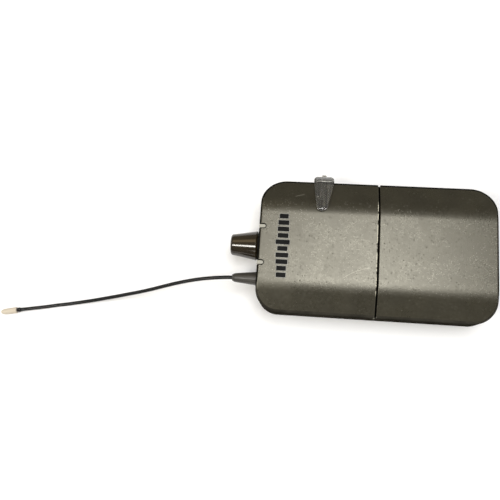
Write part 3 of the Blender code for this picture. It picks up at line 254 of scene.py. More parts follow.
DECK_Z = (BACK_Z + 11.5 * MM, BACK_Z + 12.7 * MM)
DECK_X = mm(3, 47)
DECK_Y = mm(2.6, 28.4)
WINDOW_X = mm(20, 44)
WINDOW_Y = mm(8, 22)
KEYS = {"scan": 10.5 * MM, "set": 19.5 * MM}
KEY_X = 9.5 * MM
KEY_HALF = 2.5 * MM
KEY_Z = (DECK_Z[0] - 1.2 * MM, DECK_Z[1] + 0.7 * MM)
KEY_FLANGE = 0.7 * MM
KEY_FLANGE_Z = (DECK_Z[0] - 1.4 * MM, DECK_Z[0] - GAP)
DECK_LEG_HALF = 0.8 * MM
DECK_LEG_X = (DECK_X[0] + 1.5 * MM, DECK_X[1] - 1.5 * MM)
DECK_LEG_Y = (DECK_Y[0] + 1.2 * MM, DECK_Y[1] - 2.0 * MM)
INFRARED_X, INFRARED_Y = 16.2 * MM, 15 * MM

# ---- Camera -------------------------------------------------------------------------------------
CAMERA_AT = (-0.03061, -0.06135, 0.30509)
CAMERA_TILT = (11.60, 5.424, 3.069)
CAMERA_LENS = 44.48
CAMERA_SENSOR = 36.0
FLOOR_HALF_SIZE = 1.6
FLOOR_DROP = 0.1 * MM
LIGHT_DISTANCE = 1.0
WORLD_STRENGTH = 0.18


def make_camera():
    data = bpy.data.cameras.new("camera")
    data.lens = CAMERA_LENS
    data.sensor_width = CAMERA_SENSOR
    data.clip_start = 0.01
    camera = bpy.data.objects.new("camera", data)
    link(camera)
    camera.location = CAMERA_AT
    camera.rotation_mode = "ZYX"
    camera.rotation_euler = Euler([radians(a) for a in CAMERA_TILT], "ZYX")
    bpy.context.scene.camera = camera


# ---- Lights and floor ---------------------------------------------------------------------------
def overhead(name, across, along, radiance, color=(1.0, 1.0, 1.0)):
    """An area light over the object, given by the angles it spans in X and Y, in degrees."""
    data = bpy.data.lights.new(name, "AREA")
    data.shape = "RECTANGLE"
    data.size, data.size_y = (
        2 * LIGHT_DISTANCE * tan(radians((high - low) / 2)) for low, high in (across, along)
    )
    data.energy = radiance * pi * data.size * data.size_y
    data.color = color
    light = bpy.data.objects.new(name, data)
    link(light)
    x, y = (tan(radians((low + high) / 2)) for low, high in (across, along))
    away = Vector((x, y, 1.0)).normalized()
    light.location = Vector((0.0, 0.0, FRONT_Z)) + away * LIGHT_DISTANCE
    side = (Vector((1.0, 0.0, 0.0)) - away * away.x).normalized()
    light.rotation_euler = Matrix((side, away.cross(side), away)).transposed().to_euler()


def make_studio():
    world = bpy.data.worlds.new("studio")
    world.use_nodes = True
    background = world.node_tree.nodes["Background"]
    background.inputs["Color"].default_value = (1.0, 0.98, 0.95, 1.0)
    background.inputs["Strength"].default_value = WORLD_STRENGTH
    bpy.context.scene.world = world
    bpy.context.scene.view_settings.view_transform = "Standard"
    overhead("overhead", (-8.5, 16), (-12, 18), 9.6)
    overhead("floor_fill_a", (38, 60), (-25, 25), 1.6)
    overhead("floor_fill_b", (-68, -48), (-25, 25), 1.6)
    overhead("knob_strip_a", (-34, -19), (-24, -13), 22.0, (1.0, 0.97, 0.90))
    overhead("knob_strip_b", (-34, -19), (-62, -54), 5.0, (1.0, 0.96, 0.88))
    overhead("knob_warm_card", (-34, -18), (18, 40), 1.3, (1.0, 0.75, 0.42))

    mesh = bpy.data.meshes.new("floor")
    bm = bmesh.new()
    bmesh.ops.create_grid(bm, x_segments=8, y_segments=8, size=FLOOR_HALF_SIZE)
    bm.to_mesh(mesh)
    bm.free()
    floor = bpy.data.objects.new("floor", mesh)
    link(floor)
    floor.location = (0.0, 0.0, -FLOOR_DROP)
    mesh.materials.append(FLOOR)


# ---- Materials ----------------------------------------------------------------------------------
MIX_FACTOR, MIX_COLOR_A, MIX_COLOR_B, MIX_RESULT = 0, 6, 7, 2


class Nodes:
    """A short way to build a material's node tree."""

    def __init__(self, name):
        self.material = bpy.data.materials.new(name)
        self.material.use_nodes = True
        self.tree = self.material.node_tree
        self.shader = self.tree.nodes["Principled BSDF"]
        self.place = self.tree.nodes.new("ShaderNodeTexCoord").outputs["Object"]

    def link(self, source, target):
        self.tree.links.new(source, target)

    def node(self, kind, inputs=None, **settings):
        node = self.tree.nodes.new(kind)
        for key, value in settings.items():
            setattr(node, key, value)
        for key, value in (inputs or {}).items():
            if isinstance(value, bpy.types.NodeSocket):
                self.link(value, node.inputs[key])
            else:
                node.inputs[key].default_value = value
        return node

    def noise(self, scale, detail=3.0, roughness=0.5, place=None):
        inputs = {
            "Vector": place or self.place, "Scale": scale, "Detail": detail, "Roughness": roughness,
        }
        return self.node("ShaderNodeTexNoise", inputs).outputs["Fac"]

    def stretch(self, scale):
        return self.node("ShaderNodeMapping", {"Vector": self.place, "Scale": scale}).outputs["Vector"]

    def math(self, operation, a, b=0.0):
        return self.node("ShaderNodeMath", {0: a, 1: b}, operation=operation).outputs[0]

    def add(self, a, b):
        return self.math("ADD", a, b)

    def times(self, a, b):
        return self.math("MULTIPLY", a, b)

    def parts(self):
        """X, Y and Z of the shaded point."""
        return self.node("ShaderNodeSeparateXYZ", {0: self.place}).outputs

    def ramp(self, value, low, high, start=0.0, end=1.0):
        """Map a value from low..high to start..end, clamped and smooth."""
        inputs = {"Value": value, "From Min": low, "From Max": high, "To Min": start, "To Max": end}
        return self.node("ShaderNodeMapRange", inputs, interpolation_type="SMOOTHSTEP").outputs["Result"]

    def mix(self, factor, a, b):
        node = self.node("ShaderNodeMix", data_type="RGBA")
        self.link(factor, node.inputs[MIX_FACTOR])
        for index, value in ((MIX_COLOR_A, a), (MIX_COLOR_B, b)):
            if isinstance(value, bpy.types.NodeSocket):
                self.link(value, node.inputs[index])
            else:
                node.inputs[index].default_value = (*value[:3], 1.0)
        return node.outputs[MIX_RESULT]

    def dots(self, spacing, size, share):
        """Round specks about one spacing apart; share is how many of them show."""
        cells = self.node("ShaderNodeTexVoronoi", {"Vector": self.place, "Scale": 1 / spacing}).outputs
        near = self.ramp(cells["Distance"], size, 1.8 * size, 1.0, 0.0)
        lot = self.node("ShaderNodeSeparateColor", {0: cells["Color"]}).outputs[0]
        return self.times(near, self.ramp(lot, share, share + 0.02, 1.0, 0.0))

    def arc_line(self, x, y, radius, start, end, strength):
        """A hairline along a circle about (x, y), between two X values."""
        parts = self.parts()
        across = self.math("SUBTRACT", parts[0], x)
        along = self.math("SUBTRACT", parts[1], y)
        squares = self.add(self.times(across, across), self.times(along, along))
        away = self.math("ABSOLUTE", self.math("SUBTRACT", self.math("SQRT", squares), radius))
        line = self.ramp(away, 0.0, HAIRLINE, strength, 0.0)
        inside = self.times(self.ramp(parts[0], start, start + MM),
                            self.ramp(parts[0], end - MM, end, 1.0, 0.0))
        raised = self.ramp(parts[2], PARTING_Z, PARTING_Z + MM)
        return self.times(self.times(line, inside), raised)

    def color(self, value):
        self.link(value, self.shader.inputs["Base Color"])

    def rough(self, value):
        self.link(value, self.shader.inputs["Roughness"])

    def bump(self, height, distance):
        bump = self.node("ShaderNodeBump", {"Height": height, "Distance": distance, "Strength": 1.0})
        self.link(bump.outputs["Normal"], self.shader.inputs["Normal"])

    def set(self, **values):
        for key, value in values.items():
            self.shader.inputs[key.replace("_", " ")].default_value = value


HAIRLINE = 0.16 * MM
# centre X and Y, radius, first and last X, and how much shows
SCRATCHES = [
    (1.17 * MM, -34.4 * MM, 25 * MM, -15 * MM, -2.2 * MM, 0.5),
    (-27.4 * MM, -5.1 * MM, 30 * MM, -38.5 * MM, -33.5 * MM, 0.45),
]


def shade(color, factor):
    return tuple(min(1.0, c * factor) for c in color)


def moulded(name, color, roughness, grain=0.35 * MM, depth=0.03 * MM, variation=0.25, spread=0.08,
            specular=0.5, **settings):
    """Moulded plastic or rubber: fine grain, cloudy colour and gloss."""
    n = Nodes(name)
    cloud = n.noise(1 / (9 * MM), 4.0)
    n.color(n.mix(n.ramp(cloud, 0.3, 0.7), shade(color, 1 - variation), shade(color, 1 + variation)))
    fine = n.noise(1 / grain, 2.0, 0.6)
    wear = n.noise(1 / (5 * MM), 3.0)
    n.rough(n.add(n.ramp(wear, 0.3, 0.7, roughness - spread, roughness + spread),
                  n.ramp(fine, 0.3, 0.7, -0.05, 0.05)))
    n.bump(fine, depth)
    n.set(Specular_IOR_Level=specular, **settings)
    return n.material


def casing_material():
    """Satin olive plastic: fine grain in the gloss, faint clouds, dust specks and hairlines."""
    n = Nodes("casing_plastic")
    cloud = n.noise(1 / (12 * MM), 3.0)
    base = n.mix(n.ramp(cloud, 0.3, 0.7), (0.020, 0.0175, 0.0105), (0.026, 0.023, 0.014))
    patches = n.noise(1 / (15 * MM), 2.0)
    dust = n.times(n.dots(0.7 * MM, 0.17, 0.4), n.ramp(patches, 0.40, 0.60, 0.05, 0.42))
    height = n.parts()[2]
    dust = n.times(dust, n.ramp(height, FRONT_Z - 1.4 * MM, FRONT_Z - 0.4 * MM, 0.12, 1.0))
    base = n.mix(dust, base, (0.42, 0.40, 0.34))
    pits = n.times(n.dots(1.1 * MM, 0.2, 0.25), n.ramp(patches, 0.35, 0.55, 0.9, 0.3))
    for x, y, radius, start, end, strength in SCRATCHES:
        base = n.mix(n.arc_line(x, y, radius, start, end, strength), base, (0.42, 0.40, 0.34))
    n.color(base)
    fine = n.noise(1 / (0.40 * MM), 4.0, 0.75)
    coarse = n.noise(1 / (1.1 * MM), 3.0, 0.6)
    wear = n.noise(1 / (10 * MM), 3.0)
    gloss = n.add(n.ramp(wear, 0.3, 0.7, 0.285, 0.315), n.ramp(coarse, 0.3, 0.7, -0.03, 0.03))
    n.rough(n.add(gloss, n.times(pits, 0.35)))
    height = n.add(fine, n.times(coarse, 0.4))
    n.bump(height, 0.018 * MM)
    n.shader.inputs["Specular Tint"].default_value = (1.0, 0.955, 0.80, 1.0)
    n.set(IOR=1.7)
    return n.material


def clear_material(name, color, transmission):
    """Clear plastic with streaks that run round the clip: light and dark streaks painted into the colour
    stand in for refraction, with matching roughness and bump.
    """
    n = Nodes(name)
    lines = n.noise(1 / (1.1 * MM), 2.0, 0.5, place=n.stretch((1.0, 0.1, 0.1)))
    # painted refraction: light and dark streaks in the colour
    n.color(n.mix(n.ramp(lines, 0.35, 0.65), shade(color, 0.75), shade(color, 1.1)))
    n.rough(n.ramp(lines, 0.3, 0.7, 0.03, 0.09))
    n.bump(lines, 0.02 * MM)
    n.set(Transmission_Weight=transmission, IOR=1.45)
    return n.material


def seam_highlight_material():
    """The cover's rounded edge beside the seam, with a painted highlight: pale streaks with dark gaps."""
    n = Nodes("painted_seam_highlight")
    streaks = n.noise(1 / (2.2 * MM), 3.0, 0.6, place=n.stretch((0.1, 1.0, 0.1)))
    flank = n.parts()[2]
    amount = n.times(n.ramp(streaks, 0.40, 0.52),
                     n.ramp(flank, FRONT_Z - 1.6 * MM, FRONT_Z - 0.5 * MM))
    n.color(n.mix(amount, (0.060, 0.055, 0.040), (0.80, 0.76, 0.60)))
    n.set(Roughness=0.5, Specular_IOR_Level=0.2)
    return n.material


def metal(name, color, roughness, direction=(1.0, 1.0, 1.0), depth=0.006 * MM):
    """Metal with fine brush lines; direction squeezes them across one axis."""
    n = Nodes(name)
    lines = n.noise(1 / (0.25 * MM), 3.0, 0.6, place=n.stretch(direction))
    cloud = n.noise(1 / (7 * MM), 3.0)
    n.color(n.mix(n.ramp(cloud, 0.3, 0.7), shade(color, 0.85), shade(color, 1.08)))
    n.rough(n.add(n.ramp(lines, 0.3, 0.7, roughness - 0.08, roughness + 0.08),
                  n.ramp(cloud, 0.3, 0.7, -0.04, 0.06)))
    n.bump(lines, depth)
    n.set(Metallic=1.0)
    return n.material


def floor_material():
    n = Nodes("floor_paper")
    n.color(n.mix(n.noise(6.0, 2.0), (0.945, 0.945, 0.945), (0.96, 0.96, 0.96)))
    n.set(Roughness=0.9)
    return n.material


FLOOR = floor_material()
CASING = casing_material()
KNOB = moulded("knob_plastic", (0.020, 0.014, 0.006), 0.13, depth=0.0004 * MM, spread=0.02,
               specular=0.65)
INLAY = moulded("inlay_plastic", (0.006, 0.006, 0.0055), 0.5, depth=0.01 * MM, spread=0.04,
                specular=0.06)
OUTLINE = moulded("badge_outline", (0.20, 0.195, 0.175), 0.4, depth=0.004 * MM, spread=0.04)
# near-black with no reflection: painted shade in the seam gap and the light-pipe slots
SEAM_SHADE = moulded("seam_painted_shade", (0.002, 0.002, 0.0016), 0.7, depth=0.01 * MM, spread=0.04,
                    specular=0.0)
# near-black and almost unreflective: painted shade on the casing's rim and -Y back edge
RIM_SHADE = moulded("casing_rim_painted_shade", (0.006, 0.0055, 0.004), 0.6, depth=0.01 * MM, spread=0.04,
              specular=0.03)
# matt copy of the casing without reflection: painted shade on the -Y side wall and latch
SIDE_SHADE = moulded("casing_side_painted_shade", (0.022, 0.020, 0.015), 0.6, depth=0.02 * MM, spread=0.04,
               specular=0.0)
# matt copy of the casing without reflection: painted shade on the -Y fillet
FILLET_SHADE = moulded("casing_fillet_painted_shade", (0.036, 0.033, 0.026), 0.6, depth=0.02 * MM, spread=0.04,
                 specular=0.0)
# painted highlight for the cover's rounded edge at the seam
SEAM_HIGHLIGHT = seam_highlight_material()
GLOSS = moulded("gloss_black", (0.010, 0.008, 0.007), 0.14, depth=0.002 * MM, spread=0.03)
RUBBER = moulded("boot_rubber", (0.034, 0.030, 0.024), 0.38, grain=0.25 * MM, depth=0.012 * MM)
SLEEVE = moulded("whip_sleeve", (0.005, 0.005, 0.0045), 0.30, depth=0.004 * MM, spread=0.03,
                 specular=0.3)
CREAM = moulded("cream_plastic", (0.56, 0.495, 0.395), 0.42, depth=0.01 * MM, variation=0.08,
                specular=0.25)
MILKY = moulded("milky_plastic", (0.365, 0.355, 0.295), 0.3, depth=0.004 * MM, variation=0.05,
                Transmission_Weight=0.1, specular=0.2)
CLEAR = clear_material("clear_plastic", (0.90, 0.89, 0.84), 0.962)
# darker copy of the clear plastic: painted dark outlines on the clip
CLEAR_EDGE_SHADE = clear_material("clear_plastic_edge_painted_shade", (0.34, 0.33, 0.30), 0.985)
# lighter, less clear copy of the clip's plastic: painted light on its rounded tip
CLEAR_TIP_LIGHT = clear_material("clear_plastic_tip_painted_light", (0.62, 0.60, 0.55), 0.66)
BLACKENED = moulded("blackened_steel", (0.010, 0.010, 0.009), 0.45, depth=0.004 * MM, spread=0.05,
                    specular=0.15)
DARK = moulded("dark_plastic", (0.022, 0.022, 0.022), 0.48)
GREY = moulded("grey_plastic", (0.16, 0.16, 0.16), 0.45)
DISPLAY = moulded("display_glass", (0.10, 0.115, 0.09), 0.08, depth=0.0, spread=0.02)
INFRARED = moulded("infrared_plastic", (0.03, 0.004, 0.006), 0.1, depth=0.0, spread=0.02)
LABEL = moulded("label_film", (0.34, 0.34, 0.33), 0.5, depth=0.004 * MM)
CELL = moulded("cell_wrap", (0.035, 0.075, 0.13), 0.28, depth=0.002 * MM)
BOARD = moulded("circuit_board", (0.012, 0.075, 0.03), 0.35, depth=0.01 * MM)
STEEL = metal("spring_steel", (0.56, 0.55, 0.53), 0.32, (1.0, 0.06, 1.0))
BRASS = metal("turned_brass", (0.72, 0.55, 0.26), 0.3)

# the CAD nodes that no piece replaces
CAD_FINISHES = {
    MILKY: ["power_led", "signal_led"],
    DISPLAY: ["display_glass"],
    INFRARED: ["infrared_window"],
    DARK: ["pot_body", "audio_jack", "radio_chip", "audio_chip", "scan_switch", "set_switch"],
    GREY: ["display_module"],
    BLACKENED: ["pot_nut"],
    STEEL: ["shield_can", "door_hinge_pin", "contact_bridge", "positive_contact"],
    BRASS: ["pot_shaft", "antenna_terminal"],
    BOARD: ["main_board"],
}


def finish_cad_nodes():
    for material, names in CAD_FINISHES.items():
        for name in names:
            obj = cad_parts[name]
            obj.data.materials.clear()
            obj.data.materials.append(material)


# ---- Antenna whip -------------------------------------------------------------------------------
WHIP_DIAMETER = 1.8 * MM
WHIP_ROUTE = [
    (-0.0652, -0.0159, 0.0170),
    (-0.0697, -0.0161, 0.0169),
    (-0.0752, -0.0166, 0.0165),
    (-0.0810, -0.0173, 0.0157),
    (-0.0869, -0.0183, 0.0145),
    (-0.0930, -0.0196, 0.0131),
    (-0.0991, -0.0211, 0.0115),
    (-0.1053, -0.0227, 0.0097),
    (-0.1116, -0.0242, 0.0080),
    (-0.1180, -0.0255, 0.0063),
    (-0.1244, -0.0268, 0.0047),
    (-0.1309, -0.0281, 0.0033),
    (-0.1374, -0.0294, 0.0021),
    (-0.1438, -0.0306, 0.0013),
    (-0.1500, -0.0318, 0.0010),
    (-0.1562, -0.0329, 0.0010),
    (-0.1623, -0.0341, 0.0010),
    (-0.1685, -0.0352, 0.0012),
    (-0.1745, -0.0363, 0.0016),
]
TIP_CAP_RADIUS = 1.55 * MM
TIP_CAP_LENGTH = 8 * MM
COLLAR_RADIUS = 1.2 * MM
COLLAR_LENGTH = 1.6 * MM


def smooth_line(points, pieces):
    """A Catmull-Rom curve through the points, with that many pieces between two of them."""
    knots = [Vector(p) for p in points]
    knots = [2 * knots[0] - knots[1], *knots, 2 * knots[-1] - knots[-2]]
    line = []
    for a, b, c, d in zip(knots, knots[1:], knots[2:], knots[3:]):
        for k in range(pieces):
            t = k / pieces
            line.append(0.5 * (2 * b + (c - a) * t + (2 * a - 5 * b + 4 * c - d) * t**2
                               + (3 * b - a - 3 * c + d) * t**3))
    return line + [knots[-2]]


def wire(name, points, radius, material, slot, node):
    """A round wire on the casing through the points, with closed ends."""
    curve = bpy.data.curves.new(name, "CURVE")
    curve.dimensions = "3D"
    curve.bevel_depth = radius
    curve.bevel_resolution = 6
    curve.use_fill_caps = True
    spline = curve.splines.new("POLY")
    spline.points.add(len(points) - 1)
    for target, point in zip(spline.points, points):
        target.co = (*point, 1.0)
    spline.use_smooth = True
    curve.materials.append(material)
    obj = bpy.data.objects.new(name, curve)
    link(obj)
    place(obj, "casing", slot, node)
    return obj


# ---- Shape tools --------------------------------------------------------------------------------
def place(piece, body, slot, node=None):
    """Attach a piece to the body that carries it and hide the CAD node it stands for; the slot is not
    used.
    """
    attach(piece, body)
    if node:
        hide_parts(node)


def as_object(name, bm, material=None, smooth=True):
    mesh = bpy.data.meshes.new(name)
    bm.to_mesh(mesh)
    bm.free()
    if smooth:
        mesh.shade_smooth()
    obj = bpy.data.objects.new(name, mesh)
    link(obj)
    if material:
        mesh.materials.append(material)
    return obj


def loft(low, high):
    """A closed mesh between two rings of points."""
    bm = bmesh.new()
    low, high = [[bm.verts.new(point) for point in ring] for ring in (low, high)]
    bm.faces.new(low)
    bm.faces.new(high)
    for a, b, c, d in zip(low, low[1:] + low[:1], high[1:] + high[:1], high):
        bm.faces.new((a, b, c, d))
    bmesh.ops.recalc_face_normals(bm, faces=bm.faces)
    return bm


def extrude_outline(name, outline, low, high, axis="Z"):
    """A closed prism with a flat outline: X-Y points along Z, Y-Z along X or X-Z along Y."""
    places = {
        "X": lambda u, v, w: (w, u, v),
        "Y": lambda u, v, w: (u, w, v),
        "Z": lambda u, v, w: (u, v, w),
    }
    rings = [[places[axis](u, v, w) for u, v in outline] for w in (low, high)]
    return as_object(name, loft(*rings))


def span(middle, half):
    return (middle - half, middle + half)


def block(name, x, y, z):
    bm = bmesh.new()
    bmesh.ops.create_cube(bm, size=1.0)
    for vert in bm.verts:
        vert.co = [low + (c + 0.5) * (high - low) for c, (low, high) in zip(vert.co, (x, y, z))]
    return as_object(name, bm, smooth=False)


def rod(name, axis, start, end, centre, radius, segments=48):
    """A round bar along an axis; centre holds its other two coordinates in X, Y, Z order."""
    outline = [
        (centre[0] + radius * cos(2 * pi * k / segments),
         centre[1] + radius * sin(2 * pi * k / segments))
        for k in range(segments)
    ]
    return extrude_outline(name, outline, start, end, axis)


def turned(name, corners, material, origin, axis, steps=96):
    """Turn a profile of (radius, height, rounding) corners about an axis through the origin."""
    bm = bmesh.new()
    verts = [bm.verts.new((r, 0.0, h)) for r, h in rounded_profile(corners)]
    edges = [bm.edges.new(pair) for pair in zip(verts, verts[1:])]
    bmesh.ops.spin(bm, geom=verts + edges, axis=(0, 0, 1), cent=(0, 0, 0), dvec=(0, 0, 0),
                   angle=2 * pi, steps=steps, use_merge=True, use_duplicate=False)
    bmesh.ops.remove_doubles(bm, verts=bm.verts, dist=1e-7)
    bmesh.ops.recalc_face_normals(bm, faces=bm.faces)
    turn = Vector(axis).to_track_quat("Z", "Y").to_matrix().to_4x4()
    bmesh.ops.transform(bm, matrix=Matrix.Translation(origin) @ turn, verts=bm.verts)
    obj = as_object(name, bm, material)
    obj.data.set_sharp_from_angle(angle=radians(40))
    return obj


def rounded_profile(corners, segments=6):
    """A (radius, height) profile whose corners, given as (radius, height, rounding), are arcs."""
    points = []
    for k, (r, h, rounding) in enumerate(corners):
        here = Vector((r, h))
        if not rounding or k in (0, len(corners) - 1):
            points.append((r, h))
            continue
        before = Vector(corners[k - 1][:2])
        after = Vector(corners[k + 1][:2])
        a = (before - here).normalized()
        b = (after - here).normalized()
        for j in range(segments + 1):
            t = j / segments
            start, end = here + a * rounding, here + b * rounding
            point = start * (1 - t) ** 2 + here * 2 * t * (1 - t) + end * t**2
            points.append((max(point.x, 0.0), point.y))
    return points


def apply_modifiers(obj):
    evaluated = obj.evaluated_get(bpy.context.evaluated_depsgraph_get())
    mesh = bpy.data.meshes.new_from_object(evaluated)
    old = obj.data
    obj.modifiers.clear()
    obj.data = mesh
    mesh.name = obj.name
    bpy.data.meshes.remove(old)


def combine(obj, operation, *others):
    """Boolean the other objects with this one at once and remove them."""
    for other in others:
        modifier = obj.modifiers.new(operation, "BOOLEAN")
        modifier.operation = operation
        modifier.solver = "EXACT"
        modifier.object = other
    apply_modifiers(obj)
    for other in others:
        data = other.data
        bpy.data.objects.remove(other, do_unlink=True)
        bpy.data.meshes.remove(data)
    return obj


def cut(obj, *others):
    return combine(obj, "DIFFERENCE", *others)


def join(obj, *others):
    return combine(obj, "UNION", *others)


def keep(obj, *others):
    return combine(obj, "INTERSECT", *others)


def merge_meshes(obj, *others):
    """Put the other objects' meshes into this one's, as loose shells, and remove them."""
    bm = bmesh.new()
    for part in (obj, *others):
        bm.from_mesh(part.data)
    materials = list(obj.data.materials)
    bm.to_mesh(obj.data)
    bm.free()
    obj.data.materials.clear()
    for material in materials:
        obj.data.materials.append(material)
    for other in others:
        bpy.data.objects.remove(other, do_unlink=True)
    return obj


def finish_surface(obj, material, sharp=32, soften=0.0, segments=2):
    """Smooth shading with sharp edges, fine bevels on them and even normals."""
    obj.data.materials.clear()
    obj.data.materials.append(material)
    for polygon in obj.data.polygons:
        polygon.material_index = 0
    bm = bmesh.new()
    bm.from_mesh(obj.data)
    bmesh.ops.remove_doubles(bm, verts=bm.verts, dist=1e-6)
    bmesh.ops.dissolve_limit(bm, angle_limit=0.0005, verts=bm.verts, edges=bm.edges)
    bm.to_mesh(obj.data)
    bm.free()
    obj.data.shade_smooth()
    obj.data.set_sharp_from_angle(angle=radians(sharp))
    if soften:
        bevel = obj.modifiers.new("Soft edges", "BEVEL")
        bevel.width = soften
        bevel.segments = segments
        bevel.limit_method = "ANGLE"
        bevel.angle_limit = radians(sharp)
        bevel.harden_normals = True
        bevel.use_clamp_overlap = True
    weighted = obj.modifiers.new("Even normals", "WEIGHTED_NORMAL")
    weighted.keep_sharp = True
    apply_modifiers(obj)
    return obj


def paint(obj, material, chosen):
    """Give the faces a test picks, by centre and normal, a material of their own."""
    obj.data.materials.append(material)
    index = len(obj.data.materials) - 1
    for polygon in obj.data.polygons:
        if chosen(polygon.center, polygon.normal):
            polygon.material_index = index


# ---- Outlines -----------------------------------------------------------------------------------
def rounded_rectangle(low, high, radius, steps):
    """X-Y outline with round corners, counter-clockwise from +X, +Y; one radius or four."""
    radii = radius if hasattr(radius, "__len__") else 4 * [radius]
    corners = [(high[0], high[1]), (low[0], high[1]), (low[0], low[1]), (high[0], low[1])]
    inward = [(-1, -1), (1, -1), (1, 1), (-1, 1)]
    points = []
    for quarter, ((x, y), (turn_x, turn_y), r) in enumerate(zip(corners, inward, radii)):
        for k in range(steps + 1):
            angle = (quarter + k / steps) * pi / 2
            points.append((x + r * (turn_x + cos(angle)), y + r * (turn_y + sin(angle))))
    return points


def case_outline(inset, steps=CORNER_STEPS):
    return rounded_rectangle(
        (-END_X + inset, -SIDE_Y + inset), (END_X - inset, SIDE_Y - inset),
        [radius - inset for radius in CORNER_RADII], steps,
    )


BLEND_TANGENT = FLANK_BLEND_RADIUS * tan(FLANK_ANGLE / 2)
BLEND_START = FLAT_HALF_WIDTH - BLEND_TANGENT
BLEND_END = BLEND_START + FLANK_BLEND_RADIUS * sin(FLANK_ANGLE)


def front_height(y):
    """Height of the front surface: flat, then an arc, then a straight slope to the side."""
    y = abs(y)
    if y <= BLEND_START:
        drop = 0.0
    elif y <= BLEND_END:
        drop = FLANK_BLEND_RADIUS - sqrt(FLANK_BLEND_RADIUS**2 - (y - BLEND_START) ** 2)
    else:
        drop = (y - FLAT_HALF_WIDTH) * tan(FLANK_ANGLE)
    return FRONT_Z - drop


def above_parting(offset, top):
    """X-Z outline above the parting line; past the hinge the line is an arc about its axis."""
    radius = PARTING_Z - HINGE_Z + offset
    far = END_X + MM
    reach = asin((far - HINGE_X) / radius)
    arc = [
        (HINGE_X + radius * sin(reach * k / ARC_STEPS),
         HINGE_Z + radius * cos(reach * k / ARC_STEPS))
        for k in range(ARC_STEPS + 1)
    ]
    return [(-far, PARTING_Z + offset)] + arc + [(far, top), (-far, top)]


def upper_half(offset):
    return extrude_outline("above", above_parting(offset, FRONT_Z + 2 * MM),
                           -SIDE_Y - MM, SIDE_Y + MM, "Y")


def contoured(name, inset, lift, bottom, edge, x_range=None, end_edge=0.0, back_edge=0.0):
    """A solid under the curved front that narrows to the back: rounded outline, filleted
    edges, cut to an X range."""
    levels = ((inset + DRAFT, bottom), (inset, FRONT_Z + lift))
    bm = loft(*[[(x, y, z) for x, y in case_outline(side)] for side, z in levels])
    rounded = ((FRONT_Z + lift, edge, EDGE_SEGMENTS), (bottom, back_edge, BACK_EDGE_SEGMENTS))
    for level, offset, segments in rounded:
        if offset:
            rim = [e for e in bm.edges if all(abs(v.co.z - level) < 1e-6 for v in e.verts)]
            bmesh.ops.bevel(bm, geom=rim, offset=offset, segments=segments, profile=0.5,
                            affect="EDGES", clamp_overlap=False)
    lines = [BLEND_START + (BLEND_END - BLEND_START) * k / BLEND_SLICES
             for k in range(BLEND_SLICES + 1)]
    for y in lines + [-y for y in lines]:
        bmesh.ops.bisect_plane(bm, geom=bm.verts[:] + bm.edges[:] + bm.faces[:], dist=1e-7,
                               plane_co=(0, y, 0), plane_no=(0, 1, 0))
    for vert in bm.verts:
        if vert.co.z > PARTING_Z:
            vert.co.z += front_height(vert.co.y) - FRONT_Z
    if x_range:
        for x, side in zip(x_range, (-1, 1)):
            if abs(x) > END_X:
                continue
            cutting = bmesh.ops.bisect_plane(
                bm, geom=bm.verts[:] + bm.edges[:] + bm.faces[:], dist=1e-7,
                plane_co=(x, 0, 0), plane_no=(side, 0, 0), clear_outer=True,
            )
            loop = [e for e in cutting["geom_cut"] if isinstance(e, bmesh.types.BMEdge)]
            bmesh.ops.holes_fill(bm, edges=loop, sides=0)
            if end_edge:
                loop = [e for e in loop if e.is_valid and any(v.co.z > PARTING_Z for v in e.verts)]
                bmesh.ops.bevel(bm, geom=loop, offset=end_edge, segments=3, profile=0.5,
                                affect="EDGES", clamp_overlap=True)
    bmesh.ops.recalc_face_normals(bm, faces=bm.faces)
    return as_object(name, bm)


# ---- Casing -------------------------------------------------------------------------------------
def near_outline(point, band=RIM_BAND):
    """Whether a point lies in the band next to the casing's rounded outline."""
    corner = Vector((END_X - RIM_RADIUS, SIDE_Y - RIM_RADIUS))
    across = max(abs(point.x) - corner.x, 0.0)
    along = max(abs(point.y) - corner.y, 0.0)
    return hypot(across, along) > RIM_RADIUS - band


def near_wall_face(point, normal):
    return normal.x < -0.2 and point.x < -END_X + MM


def paint_casing(obj):
    """Painted shade: a near-black rim round the top; on the -Y side a matt shaded copy of the casing on
    the fillet and side wall, and the near-black rim on the back edge.
    """
    def on_fillet(p, n):
        return (RIM_SLOPE[0] < n.z < RIM_SLOPE[1] and near_outline(p)
                and not SEAM_LOW - MM < p.x < SEAM_HIGH + MM)

    # painted shade: near-black rim on the top fillet
    paint(obj, RIM_SHADE, lambda p, n: n.y > SHADED_SIDE and on_fillet(p, n))
    # painted shade: matt tone on the -Y fillet
    paint(obj, FILLET_SHADE, lambda p, n: n.y <= SHADED_SIDE and on_fillet(p, n))
    # painted shade: matt side wall on the -Y side
    paint(obj, SIDE_SHADE, lambda p, n: WALL_SLOPE[0] < n.z < WALL_SLOPE[1] and near_outline(p)
          and n.y < SHADED_SIDE)
    # painted shade: near-black back edge on the -Y side
    paint(obj, RIM_SHADE, lambda p, n: BACK_SLOPE[0] < n.z <= BACK_SLOPE[1] and p.z < PARTING_Z
          and n.y < SHADED_SIDE and near_outline(p, BACK_EDGE_RADIUS + MM))


def end_wall_holes():
    reach = (-END_X - 3 * MM, -END_X + WALL + MM)
    places = ((0.0, BUSHING_RADIUS), (JACK_Y, JACK_BUSHING_RADIUS), (ANTENNA_Y, BOOT_NECK_RADIUS))
    return [rod("hole", "X", *reach, (y, PARTING_Z), radius + GAP) for y, radius in places]


